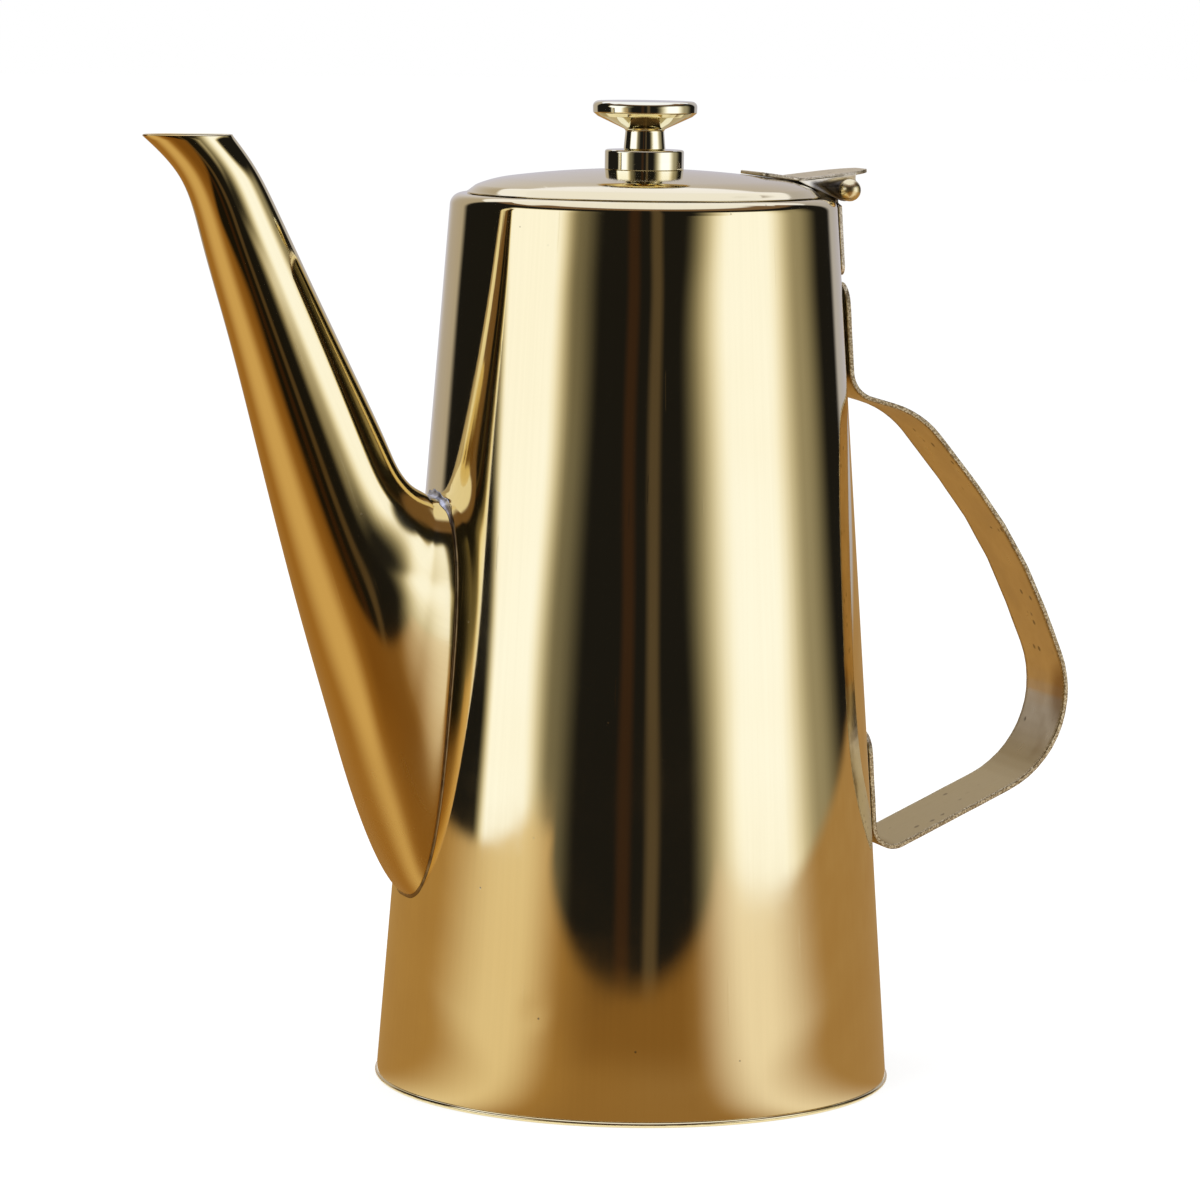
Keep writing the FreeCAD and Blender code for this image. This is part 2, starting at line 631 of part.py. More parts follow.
def make_knob_head():
    """Neck and disc in one turned piece, threaded from below."""
    foot = LID_TOP + COLLAR_HEIGHT
    neck_top = foot + NECK_HEIGHT
    under = neck_top + DISC_CONE_HEIGHT
    top = under + DISC_RIM_HEIGHT
    bulge = top - DISC_RIM_ROUND
    half = DISC_RIM_ROUND * math.sqrt(0.5)
    bore = SCREW_RADIUS + THREAD_CLEARANCE
    depth = foot + SCREW_BITE + SCREW_CLEARANCE
    o = Outline(bore, foot)
    o.line(NECK_FOOT_RADIUS, foot)
    o.line(NECK_TOP_RADIUS, neck_top)
    o.line(DISC_UNDER_RADIUS, under)
    o.line(DISC_RADIUS, bulge)
    o.arc((DISC_RADIUS - DISC_RIM_ROUND + half, bulge + half), (DISC_RADIUS - DISC_RIM_ROUND, top))
    o.line(0, top).line(0, depth).line(bore, depth)
    return turned(o)


def make_screw_washer():
    """A washer pressed to the curve of the lid's underside."""
    disc = ring(SCREW_RADIUS + SCREW_CLEARANCE, WASHER_RADIUS, LID_TOP - 4 * SHEET, LID_TOP)
    return disc.common(lid_skin(SHEET, SHEET + WASHER_SHEET))


def make_knob_screw():
    """A pan-head screw from inside the lid up into the knob."""
    sag = CROWN_RADIUS - math.sqrt(CROWN_RADIUS ** 2 - WASHER_RADIUS ** 2)
    seat = LID_TOP - SHEET - WASHER_SHEET - sag
    head = Part.makeCylinder(SCREW_HEAD_RADIUS, SCREW_HEAD_HEIGHT, Vector(0, 0, seat - SCREW_HEAD_HEIGHT))
    tip = LID_TOP + COLLAR_HEIGHT + SCREW_BITE
    shank = Part.makeCylinder(SCREW_RADIUS, tip - seat, Vector(0, 0, seat))
    return head.fuse(shank).removeSplitter()


def make_all():
    """Every piece of the pot by name."""
    strap = make_handle_strap()
    bracket = make_hinge_bracket()
    pin = make_hinge_pin()
    leaf = make_lid_leaf()
    return {
        "body_shell": make_body_shell(),
        "base_disc": make_base_disc(),
        "spout": make_spout(),
        "spout_weld_bead": make_spout_weld_bead(),
        "handle_strap": strap,
        "handle_spot_welds": make_handle_spot_welds(strap),
        "hinge_bracket": bracket,
        "bracket_spot_welds": make_bracket_spot_welds(bracket),
        "hinge_pin": pin,
        "pin_ball_ends": make_pin_ball_ends(pin),
        "lid_dome": make_lid_dome(),
        "lid_skirt": make_lid_skirt(),
        "lid_leaf": leaf,
        "leaf_spot_welds": make_leaf_spot_welds(leaf),
        "knob_head": make_knob_head(),
        "knob_collar": make_knob_collar(),
        "knob_screw": make_knob_screw(),
        "screw_washer": make_screw_washer(),
    }


os.makedirs("parts", exist_ok=True)
for name, shape in make_all().items():
    shape.exportStep(os.path.join("parts", name + ".step"))
    print(name, "solids", len(shape.Solids), "valid", shape.isValid(), "volume", round(shape.Volume, 2))
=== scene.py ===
import math

import bpy
import numpy as np
from mathutils import Matrix


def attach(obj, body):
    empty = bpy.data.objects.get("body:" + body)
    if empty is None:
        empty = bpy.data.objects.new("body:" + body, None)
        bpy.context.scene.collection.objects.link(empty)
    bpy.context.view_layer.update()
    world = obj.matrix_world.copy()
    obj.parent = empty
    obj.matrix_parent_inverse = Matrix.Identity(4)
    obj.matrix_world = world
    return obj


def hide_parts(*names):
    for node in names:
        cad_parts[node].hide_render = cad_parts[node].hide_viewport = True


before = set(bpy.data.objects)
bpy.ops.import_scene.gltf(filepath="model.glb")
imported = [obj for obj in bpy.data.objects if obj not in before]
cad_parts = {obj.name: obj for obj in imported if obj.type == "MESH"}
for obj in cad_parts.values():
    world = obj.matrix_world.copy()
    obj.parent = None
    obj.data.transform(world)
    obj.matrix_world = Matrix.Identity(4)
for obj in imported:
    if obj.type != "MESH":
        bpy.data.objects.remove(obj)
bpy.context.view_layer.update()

# A tall conical coffee pot in polished gold-toned steel. Sizes are millimetres, as in the part's
# source: +Z up, spout towards -X, handle towards +X. Meshes are written in metres.
MM = 0.001

# Sheet and fits
SHEET = 0.6
SEAT_GAP = 0.3
WELD_GAP = 0.2
PIN_CLEARANCE = 0.05
SCREW_CLEARANCE = 0.25
THREAD_CLEARANCE = 0.05
SWING_CLEARANCE = 0.4

# Finish of cut sheet: easing of its edges, of a strip's corners, and the round of a strip's end
CUT_EASE = 0.15
LIP_EASE = 0.25
HANDLE_EASE = 0.22
HINGE_EASE = 0.18
NOSE_REACH = 0.4
EDGE_SHARE = 0.955

# Body and base
BASE_RADIUS = 60.0
RIM_RADIUS = 44.6
BODY_HEIGHT = 206.5
SHOULDER_RADIUS = 2.8
MOUTH_RADIUS = 37.8
MOUTH_LIP_RADIUS = 1.2
MOUTH_LIP_DEPTH = 3.2
BASE_SEAT = 1.2
BASE_PROUD = 0.4
BASE_RING_WIDTH = 6.0
BASE_RECESS = 2.0
BASE_STEP_RUN = 3.0
BASE_STEP_BEND = 1.5
BASE_RING_BEND = 1.0
TAPER = (BASE_RADIUS - RIM_RADIUS) / BODY_HEIGHT
LEAN = math.atan(TAPER)
DENT_ANGLE = math.radians(-133.1)
DENT_HEIGHT = 24.1
DENT_DEPTH = 0.10
DENT_RIM = 0.03
WALL_WAVE = 0.030
WALL_RIPPLE = 0.016

# Spout
SPOUT_SHEET = 0.7
SPOUT_HEEL = 44.0
SPOUT_THROAT = 137.4
SPOUT_RIM = 220.0
SPOUT_ROOT_HALF_WIDTH = 16.4
SPOUT_RIM_HALF_WIDTH = 5.8
SPOUT_BEAD = 0.9
STRAINER_HOLE_RADIUS = 2.2
STRAINER_LOW = SPOUT_HEEL + 18.0
STRAINER_HIGH = SPOUT_THROAT - 15.0
STRAINER_ROWS = 7
STRAINER_STEP = 7.0
BIT_SIDES = 32
BIT_START = 75.0
BIT_END = 40.0
ROOT_SAMPLES = 900

# Handle strap: reach from the wall line and height of each corner of its middle line
HANDLE_WIDTH = 22.0
HANDLE_SHEET = 1.1
HANDLE_OFF_WALL = WELD_GAP + HANDLE_SHEET / 2
HANDLE_CORNERS = (
    (HANDLE_OFF_WALL, 186.5), (HANDLE_OFF_WALL, 160.6), (18.0, 155.6), (41.4, 124.6),
    (58.2, 75.8), (HANDLE_OFF_WALL, 50.4), (HANDLE_OFF_WALL, 80.4),
)
HANDLE_BENDS = (0, 7.0, 24.0, 120.0, 25.0, 5.0, 0)
HANDLE_CORNER = 5.0
HANDLE_SHEAR = 0.05

# Hinge
PIN_RADIUS = 1.25
PIN_Z = BODY_HEIGHT + 1.5
KNUCKLE_RADIUS = 2.2
PIN_X = BASE_RADIUS - TAPER * PIN_Z + WELD_GAP + KNUCKLE_RADIUS
BRACKET_SHEET = 0.9
BRACKET_WIDTH = 18.0
BRACKET_BOTTOM = BODY_HEIGHT - 18.5
BRACKET_CORNER = 2.5
BRACKET_ROLL = math.radians(322)
BALL_RADIUS = 2.6
BALL_GAP = 0.3

# Lid, leaf and knob
LID_RADIUS = 41.0
LID_RISE = 5.1
LID_PRESSED = 0.58
LID_THINNED = 0.30
LID_EDGE = 2.5
LID_TOP = BODY_HEIGHT + SEAT_GAP + SHEET + LID_RISE
CROWN_RADIUS = 235.0
CROWN_REACH = 31.5
SKIRT_RADIUS = 37.0
SKIRT_DEPTH = 5.0
SKIRT_FLANGE = 4.0
LEAF_SHEET = 0.8
LEAF_WIDTH = 16.0
KNUCKLE_WIDTH = LEAF_WIDTH - 2 * (LEAF_SHEET + SWING_CLEARANCE)
BALL_MIDDLE = LEAF_WIDTH / 2 + BALL_GAP + BALL_RADIUS
LEAF_START = 26.5
LEAF_SEAT = 31.5
LEAF_BEND = 36.5
LEAF_GAP = 0.15
LEAF_CORNER = 1.5
LEAF_BEND_RADIUS = 6.0
LEAF_NICK = 0.12
LEAF_NICK_PLACE = 8.6
TAB_SLOPE = math.radians(6.5)
TAB_TIP = PIN_X + 7.6
TAB_ROUND = 8.0
EAR_START = 35.0
EAR_RADIUS = 2.7
EAR_OVERLAP = 0.35
COLLAR_RADIUS = 9.15
COLLAR_HEIGHT = 4.4
NECK_FOOT_RADIUS = 4.85
NECK_TOP_RADIUS = 4.45
NECK_HEIGHT = 4.6
DISC_RADIUS = 12.1
DISC_UNDER_RADIUS = 10.9
DISC_CONE_HEIGHT = 3.0
DISC_RIM_HEIGHT = 3.6
SCREW_RADIUS = 2.0
SCREW_HEAD_RADIUS = 3.8
SCREW_HEAD_HEIGHT = 2.2
SCREW_BITE = 6.0
SCREW_RECESS = 0.9
SCREW_RECESS_RADIUS = 1.9
WASHER_RADIUS = 5.5
WASHER_SHEET = 0.8


# Curves

def wall_radius(z):
    """Outer radius of the straight wall: the base radius less the taper times the height."""
    return BASE_RADIUS - TAPER * z


def eased(low, high, x):
    """0 below low and 1 above high, with the cubic 3t^2 - 2t^3 between."""
    t = np.clip((x - low) / (high - low), 0, 1)
    return t * t * (3 - 2 * t)


def turns(count):
    """The angles of a whole turn in even steps."""
    return np.linspace(0, math.tau, count, endpoint=False)


def polar(radius, angle):
    """Flat points at a radius and an angle."""
    return np.stack([radius * np.cos(angle), radius * np.sin(angle)], -1)


def unit(vectors):
    """Vectors scaled to a length of 1."""
    return vectors / np.linalg.norm(vectors, axis=-1, keepdims=True)


ARC_STEP = 0.12


def rounded(corners, radii, run, closed=False):
    """A path through the corners, each turned into an arc of its radius.

    An arc starts radius * tan(turn / 2) before its corner. It is cut about every 7 degrees, with
    a short step before and after it, and the straight runs are cut into steps of at most run.
    """
    corners = np.asarray(corners, float)
    parts = []
    for i, radius in enumerate(radii):
        corner = corners[i]
        if radius == 0:
            parts.append(corner[None])
            continue
        come = unit(corner - corners[i - 1])
        go = unit(corners[(i + 1) % len(corners)] - corner)
        turn = math.atan2(come[0] * go[1] - come[1] * go[0], come @ go)
        start = corner - come * radius * math.tan(abs(turn) / 2)
        arm = math.copysign(radius, turn) * np.array([come[1], -come[0]])
        angle = np.linspace(0, turn, max(3, int(abs(turn) / ARC_STEP) + 2))[:, None]
        arc = start - arm + arm * np.cos(angle) + np.array([-arm[1], arm[0]]) * np.sin(angle)
        step = min(0.1 * radius, 0.4)
        parts.append(np.concatenate([[arc[0] - come * step], arc, [arc[-1] + go * step]]))
    chain = np.concatenate(parts + [parts[0][:1]] if closed else parts)
    cuts = np.ceil(np.linalg.norm(np.diff(chain, axis=0), axis=1) / run).clip(1).astype(int)
    piece_of = np.repeat(np.arange(len(cuts)), cuts)
    share = (np.arange(len(piece_of)) - np.repeat(np.cumsum(cuts) - cuts, cuts)) / cuts[piece_of]
    path = chain[piece_of] + (chain[piece_of + 1] - chain[piece_of]) * share[:, None]
    return path if closed else np.concatenate([path, chain[-1:]])


def spline(knots, values, at):
    """Cubic pieces through the values at the knots, with even curvature and none at the ends."""
    gap = np.diff(knots)
    inner = np.arange(1, len(knots) - 1)
    system = np.eye(len(knots))
    system[inner, inner - 1], system[inner, inner + 1] = gap[:-1], gap[1:]
    system[inner, inner] = 2 * (gap[:-1] + gap[1:])
    target = np.zeros(values.shape)
    target[1:-1] = 6 * np.diff(np.diff(values, axis=0) / gap[:, None], axis=0)
    bend = np.linalg.solve(system, target)
    k = np.clip(np.searchsorted(knots, at, side="right") - 1, 0, len(gap) - 1)
    a = ((knots[k + 1] - at) / gap[k])[..., None]
    b = 1 - a
    curve = (a ** 3 - a) * bend[k] + (b ** 3 - b) * bend[k + 1]
    return a * values[k] + b * values[k + 1] + curve * (gap[k] ** 2 / 6)[..., None]


def way_along(path):
    """Distance along a path at each of its points."""
    return np.concatenate([[0], np.cumsum(np.linalg.norm(np.diff(path, axis=0), axis=1))])


def resampled(path, distance):
    """Points of a path at the given distances along it."""
    way = way_along(path)
    return np.stack([np.interp(distance, way, path[:, k]) for k in range(path.shape[1])], 1)


def unevenness(at, seed, steps):
    """A smooth irregular wave between about -1 and 1: sines of the given counts, summed."""
    phase = np.random.default_rng(seed).uniform(0, math.tau, len(steps))
    return sum(np.sin(n * at + p) for n, p in zip(steps, phase)) / math.sqrt(len(steps))


# Skins

def shell(rings, closed=False, poles=None, marks=None):
    """A closed skin over rings of points, rings[row, column]. The columns always close.

    The rows close on each other, or else a pole closes each end, by default the middle of the
    end ring. UV is the distance along the rows and round the columns, in metres. The faces are
    turned outwards by the sign of the enclosed volume.
    """
    rows, columns = rings.shape[:2]
    points = rings.reshape(-1, 3)
    grid = np.arange(rows * columns).reshape(rows, columns)
    above, beside = np.roll(grid, -1, 0), np.roll(grid, -1, 1)
    quads = np.stack([grid, beside, np.roll(above, -1, 1), above], -1)[:None if closed else -1]
    steps = np.linalg.norm(np.roll(rings, -1, 0) - rings, axis=2).mean(1)
    along = np.concatenate([[0], np.cumsum(steps)]) * MM
    turn = np.linalg.norm(np.roll(rings, -1, 1) - rings, axis=2).max(0)
    around = np.concatenate([[0], np.cumsum(turn)]) * MM
    r, c = np.meshgrid(np.arange(len(quads)), np.arange(columns), indexing="ij")
    quad_uv = np.stack([along[[r, r, r + 1, r + 1]], around[[c, c + 1, c + 1, c]]], -1)
    quad_uv = np.moveaxis(quad_uv, 0, 2).reshape(-1, 4, 2)
    quads = quads.reshape(-1, 4)
    tris, tri_uv = np.zeros((0, 3), int), np.zeros((0, 3, 2))
    marks = np.zeros(len(points)) if marks is None else marks.reshape(-1)
    if not closed:
        if poles is None:
            poles = rings[0].mean(0), rings[-1].mean(0)
        points = np.concatenate([points, poles])
        marks = np.concatenate([marks, [0, 0]])
        c = np.arange(columns)
        low = np.stack([np.full(columns, len(points) - 2), beside[0], grid[0]], 1)
        high = np.stack([np.full(columns, len(points) - 1), grid[-1], beside[-1]], 1)
        tris = np.concatenate([low, high])
        ends = np.repeat(along[[0, rows - 1]], columns)[:, None].repeat(3, 1)
        sides = np.concatenate([around[[c, c + 1, c]].T, around[[c, c, c + 1]].T])
        tri_uv = np.stack([ends, sides], -1)
    halves = np.concatenate([quads[:, :3], quads[:, [0, 2, 3]], tris])
    a, b, d = np.moveaxis(points[halves] - points.mean(0), 1, 0)
    if np.einsum("ij,ij->", a, np.cross(b, d)) < 0:
        quads, tris = quads[:, ::-1], tris[:, ::-1]
        quad_uv, tri_uv = quad_uv[:, ::-1], tri_uv[:, ::-1]
    return {"points": points, "quads": quads, "tris": tris, "quad_uv": quad_uv, "tri_uv": tri_uv,
            "marks": marks}


def turned(profile, segments, closed=False, centre=None):
    """A profile of (radius, height) turned about the pot's axis, or about the hinge axis through
    a centre. An open profile runs from axis to axis, and its end points become the poles."""
    body = profile if closed else profile[1:-1]
    angle = turns(segments)
    x, y = body[:, :1] * np.cos(angle), body[:, :1] * np.sin(angle)
    rings = np.stack([x, y, np.broadcast_to(body[:, 1:], x.shape)], -1)
    poles = None if closed else np.array([(0, 0, z) for z in profile[[0, -1], 1]])
    if centre is not None:
        rings, poles = rings[..., [1, 2, 0]] + centre, poles[:, [1, 2, 0]] + centre
    return shell(rings, closed, poles)


def lathe(corners, radii, run, segments, closed=False, centre=None):
    """A section given by its corners and their rounding, turned."""
    return turned(rounded(corners, radii, run, closed), segments, closed, centre)


def corner_cut(distance, corner):
    """How far a round corner draws a strip's edge in, at that distance from the strip's end."""
    inside = np.clip(1 - distance / corner, 0, 1)
    return corner * (1 - np.sqrt(1 - inside ** 2))


def strip(path, step, width, thick, ease, narrowed):
    """A flat sheared strip bent along a path of the XZ plane.

    Its section is an oblong with corners eased by a small arc. At each point of the path it is
    stretched to the half sizes there, across along Y and through along the path's normal:
    narrowed(distance, length) is taken off the half width, and the ends close in a bullnose.
    """
    length = way_along(path)[-1]
    distance = stations_along(length, step)
    path = resampled(path, distance)
    from_end = np.minimum(distance, length - distance)
    in_nose = np.clip(1 - (from_end + 0.02) / NOSE_REACH, 0, 1)
    w, h = width / 2, thick / 2
    section = rounded([(w, -h), (w, h), (-w, h), (-w, -h)], [ease] * 4, w / 8, closed=True) / (w, h)
    run = unit(np.diff(path, axis=0))
    tangent = unit(np.concatenate([run[:1], run[:-1] + run[1:], run[-1:]]))
    across = section[:, 0] * (w - narrowed(distance, length))[:, None]
    through = section[:, 1] * (h * np.sqrt(1 - 0.97 * in_nose ** 2))[:, None]
    x = path[:, :1] - tangent[:, 1:] * through
    z = path[:, 1:] + tangent[:, :1] * through
    edge = np.broadcast_to(np.abs(section[:, 0]) > EDGE_SHARE, x.shape).astype(float)
    return shell(np.stack([x, across, z], -1), marks=edge)


def stations_along(length, step):
    """Distances along a strip, closer together at its two ends."""
    near = np.array([0, 0.05, 0.12, 0.22, 0.35, 0.5, 0.8, 1.2, 1.7, 2.3, 3.0, 4.0])
    middle = np.linspace(5, length - 5, int((length - 10) / step) + 2)
    return np.concatenate([near, middle, length - near[::-1]])


# Finishes. Each is a material and the slot that it goes by.

class Wire:
    """An output of a node tree. Used in an expression, it adds the Math nodes for it."""

    def __init__(self, bench, socket):
        self.bench, self.socket = bench, socket

    def __add__(self, other):
        return self.bench.maths("ADD", self, other)

    def __sub__(self, other):
        return self.bench.maths("SUBTRACT", self, other)

    def __rsub__(self, other):
        return self.bench.maths("SUBTRACT", other, self)

    def __mul__(self, other):
        return self.bench.maths("MULTIPLY", self, other)

    def __abs__(self):
        return self.bench.maths("ABSOLUTE", self)

    __radd__, __rmul__ = __add__, __mul__

    def from_to(self, low, high, start=0.0, end=1.0):
        """A smooth step from start, where the value is low, to end, where it is high."""
        return self.bench.add("MapRange", {0: self, 1: low, 2: high, 3: start, 4: end},
                              interpolation_type="SMOOTHSTEP")


class Bench:
    """A node tree that is written as expressions."""

    def __init__(self, tree):
        self.tree = tree
        tree.nodes.clear()

    def add(self, kind, sockets=None, out=0, **settings):
        """A node of a type, with the values or links of its sockets and with its settings."""
        node = self.tree.nodes.new("ShaderNode" + kind)
        for key, value in settings.items():
            setattr(node, key, value)
        for key, value in (sockets or {}).items():
            if isinstance(value, Wire):
                self.tree.links.new(value.socket, node.inputs[key])
            else:
                node.inputs[key].default_value = value
        return Wire(self, node.outputs[out]) if node.outputs else None

    def maths(self, operation, *values):
        return self.add("Math", dict(enumerate(values)), operation=operation)

    def hypot(self, a, b):
        return self.maths("SQRT", a * a + b * b)

    def mark(self):
        """The mark on the mesh: the keel of the spout, or the sheared edge of a strip."""
        return self.add("Attribute", out="Fac", attribute_name="mark")

    def coordinates(self, kind="Object"):
        return self.add("TexCoord", out=kind)

    def parts(self, vector):
        split = self.add("SeparateXYZ", {0: vector})
        return [Wire(self, split.socket.node.outputs[k]) for k in range(3)]

    def vector(self, x, y, z=0.0):
        return self.add("CombineXYZ", {0: x, 1: y, 2: z})

    def noise(self, where, scale, detail=2.0, rough=0.5):
        return self.add("TexNoise", {
            "Vector": where, "Scale": scale, "Detail": detail, "Roughness": rough})

    def cells(self, where, scale):
        """Distance to the nearest scattered point, and a random number for its cell."""
        near = self.add("TexVoronoi", {"Vector": where, "Scale": scale})
        return near, self.parts(Wire(self, near.socket.node.outputs["Color"]))[0]

    def mix(self, share, a, b):
        """A colour between a and b."""
        return self.add("Mix", {0: share, 6: a, 7: b}, 2, data_type="RGBA")

    def bump(self, height, strength, distance):
        return self.add("Bump", {"Height": height, "Strength": strength, "Distance": distance})

    def show(self, shader):
        self.add("OutputMaterial", {"Surface": shader})

    def metal(self, colour, rough, normal, **constants):
        """The finished metal, wired to the output."""
        sockets = {"Base Color": colour, "Roughness": rough, "Metallic": 1.0, "Normal": normal}
        self.show(self.add("BsdfPrincipled", {**sockets, **constants}))


def new_finish(name):
    material = bpy.data.materials.new(name)
    material.use_nodes = True
    return material, Bench(material.node_tree)


def colour(r, g, b):
    return (r, g, b, 1.0)


GOLD = colour(0.88, 0.76, 0.44)
GOLD_DEEP = colour(0.86, 0.72, 0.39)
PALE_GOLD = colour(0.94, 0.88, 0.62)
PALE_GOLD_DEEP = colour(0.92, 0.84, 0.55)
# Painted reflection: the brown table, painted along the spout's keel.
KEEL_TABLE_REFLECTION = colour(0.70, 0.46, 0.13)
LINE_BROWN = colour(0.55, 0.42, 0.20)
SPECK_BROWN = colour(0.10, 0.07, 0.04)
STAIN_BROWN = colour(0.30, 0.17, 0.07)
PIT_BROWN = colour(0.16, 0.11, 0.07)
# Painted shade: the near black painted on the hinge under the leaf.
PAINTED_SHADE_BLACK = colour(0.07, 0.055, 0.045)
SATIN_TINT = colour(0.86, 0.76, 0.54)

# Lengths in metres: the wall's middle radius, the heights between which the handle's lower leg
# darkens, and the middle of its brown patch. A share draws a grain out along the metal.
WALL_MIDDLE = 0.052
LEG_TOP, LEG_DARK = 0.083, 0.071
PATCH_Y, PATCH_Z = -0.011, 0.088
LINE_SHARE, RING_SHARE, ROLL_SHARE = 0.012, 0.0004, 0.03
HAIR_TURN, HAIR_SHARE = 0.6, 0.05


def polished_gold(name, grain, smooth=0.035, worn=0.05, line_depth=1.5e-6,
                  light=GOLD, deep=GOLD_DEEP):
    """Mirror-polished gold-toned steel: faint polishing lines, wiped smears, specks and hairs.

    The grain says how the polishing lines run: upright on the wall, along a drawn spout, or
    round a turned piece. A drawn spout also has a painted reflection of the brown table, an
    orange-brown tint along its keel, and is duller low down.
    """
    material, b = new_finish(name)
    where = b.coordinates()
    x, y, z = b.parts(where)
    bearing = b.maths("ARCTAN2", y, x)
    if grain == "round":
        flat, lines = where, b.vector(b.hypot(x, y), z, bearing * RING_SHARE)
    else:
        up, across = z, bearing * WALL_MIDDLE
        if grain == "along":
            up, across, _ = b.parts(b.coordinates("UV"))
        flat, lines = b.vector(across, up), b.vector(across, up * LINE_SHARE)
    brushed = b.noise(lines, 900.0, 3.0, 0.6)
    smear = b.noise(where, 26.0, 4.0, 0.6)
    tone = b.noise(where, 11.0, 3.0)
    near, shade = b.cells(where, 210.0)
    speck = near.from_to(0.07, 0.03) * shade.from_to(0.93, 0.94)
    hair_way = b.add("Mapping", {0: flat, 2: (0, 0, HAIR_TURN), 3: (1, HAIR_SHARE, 1)})
    hair = b.noise(hair_way, 700.0, 1.0).from_to(0.735, 0.76)
    tint = b.mix(tone.from_to(0.3, 0.7), light, deep)
    tint = b.mix(brushed.from_to(0.35, 0.65, 0, 0.04), tint, LINE_BROWN)
    rough = smear.from_to(0.38, 0.72, smooth, smooth + worn)
    if grain == "along":
        # Painted reflection: the keel side of the spout is tinted orange-brown, as if it mirrored
        # the brown table.
        keel = (b.mark() + (smear - 0.5) * 0.2).from_to(0.40, 0.72, 0, 0.9)
        tint = b.mix(keel, tint, KEEL_TABLE_REFLECTION)
        rough = rough + z.from_to(0.092, 0.074, 0, 0.2)
    tint = b.mix(speck * 0.6, tint, SPECK_BROWN)
    rough = rough + (brushed - 0.5) * 0.02 + hair * 0.05 + speck * 0.3
    height = brushed + hair * 1.5 - speck * 2.0
    b.metal(tint, rough, b.bump(height, 1.0, line_depth))
    return material, "gold_mirror_steel"


def satin_strap(name, light, deep, edges, darker_leg=None, painted_shade=0.0):
    """Duller rolled gold: grain along the strip, heat stains, pits and sheared edges.

    A darker leg is a darker tone over the handle's lower leg, with a brown patch over it on the
    outer bend. Painted shade is the share of near black painted under the leaf, by the pin, for the
    shade and dark reflection there.
    """
    material, b = new_finish(name)
    where = b.coordinates()
    x, y, z = b.parts(where)
    u, v, _ = b.parts(b.coordinates("UV"))
    edge = b.mark()
    rolled = b.noise(b.vector(v, u * ROLL_SHARE), 1500.0, 3.0, 0.65)
    cloud = b.noise(where, 60.0, 5.0, 0.62)
    near, shade = b.cells(where, 330.0)
    pit = near.from_to(0.30, 0.12) * shade.from_to(0.80, 0.82)
    chips = b.noise(where, 2600.0, 2.0, 0.7)
    tint = b.mix(cloud.from_to(0.3, 0.7), light, deep)
    stain = b.noise(where, 34.0, 3.0, 0.55).from_to(0.60, 0.74) * 0.4
    if darker_leg:
        # The handle's lower leg is given a darker tone below LEG_TOP.
        tint = b.mix(z.from_to(LEG_TOP, LEG_DARK, 0, 0.92), tint, darker_leg)
        away = b.hypot(y - PATCH_Y, z - PATCH_Z)
        patch = (away + (cloud - 0.5) * 0.01).from_to(0.010, 0.003) * x.from_to(0.095, 0.100)
        stain = b.maths("MAXIMUM", stain, patch * 0.7)
    tint = b.mix(stain, tint, STAIN_BROWN)
    tint = b.mix(pit * 0.6, tint, PIT_BROWN)
    tint = b.mix(edge, tint, b.mix(chips.from_to(0.42, 0.62), *edges))
    if painted_shade:
        # Painted shade: near black painted on the hinge under the leaf, by the pin, for its shade
        # and dark reflection.
        under_leaf_shade = x.from_to(0.0375, 0.0395) * z.from_to(0.2105, 0.2095) * z.from_to(0.2040, 0.2055)
        tint = b.mix(under_leaf_shade * painted_shade, tint, PAINTED_SHADE_BLACK)
    rough = cloud.from_to(0.25, 0.75, 0.26, 0.38) + (rolled - 0.5) * 0.10 + pit * 0.2 + edge * 0.08
    height = rolled * 0.6 + cloud * 0.5 - pit * 1.2 + edge * chips * 0.8
    b.metal(tint, rough, b.bump(height, 1.0, 1.2e-5), **{"Specular Tint": SATIN_TINT})
    return material, "gold_satin_strap"


def bare_weld(name):
    """Weld metal left grey: frozen ripples, soot in the hollows and a few bright brushed tops."""
    material, b = new_finish(name)
    where = b.coordinates()
    grain = b.noise(where, 1400.0, 4.0, 0.6)
    lumps = b.noise(where, 420.0, 3.0, 0.55)
    soot = b.noise(where, 150.0, 3.0, 0.6)
    notch = b.parts(where)[2].from_to(0.1310, 0.1372)
    raw = b.mix(lumps.from_to(0.35, 0.65), colour(0.20, 0.19, 0.18), colour(0.72, 0.71, 0.69))
    buffed = b.mix(soot.from_to(0.45, 0.7), colour(0.30, 0.21, 0.10), colour(0.12, 0.08, 0.04))
    tint = b.mix(notch, buffed, raw)
    rough = notch.from_to(0.0, 1.0, 0.30, 0.36) + (grain - 0.5) * 0.2
    b.metal(tint, rough, b.bump(lumps + grain * 0.4, 0.8, 6e-5))
    return material, "bare_weld"


def plain_steel(name):
    """Bare turned steel: fine rings of the tool, a little oil tarnish."""
    material, b = new_finish(name)
    where = b.coordinates()
    x, y, z = b.parts(where)
    rings = b.noise(b.vector(z, b.hypot(x, y)), 2600.0, 2.0)
    tarnish = b.noise(where, 240.0, 4.0, 0.6)
    tint = b.mix(tarnish.from_to(0.4, 0.7), colour(0.62, 0.60, 0.57), colour(0.42, 0.38, 0.32))
    rough = tarnish.from_to(0.3, 0.7, 0.16, 0.30) + (rings - 0.5) * 0.12
    b.metal(tint, rough, b.bump(rings, 1.0, 6e-6))
    return material, "plain_steel"


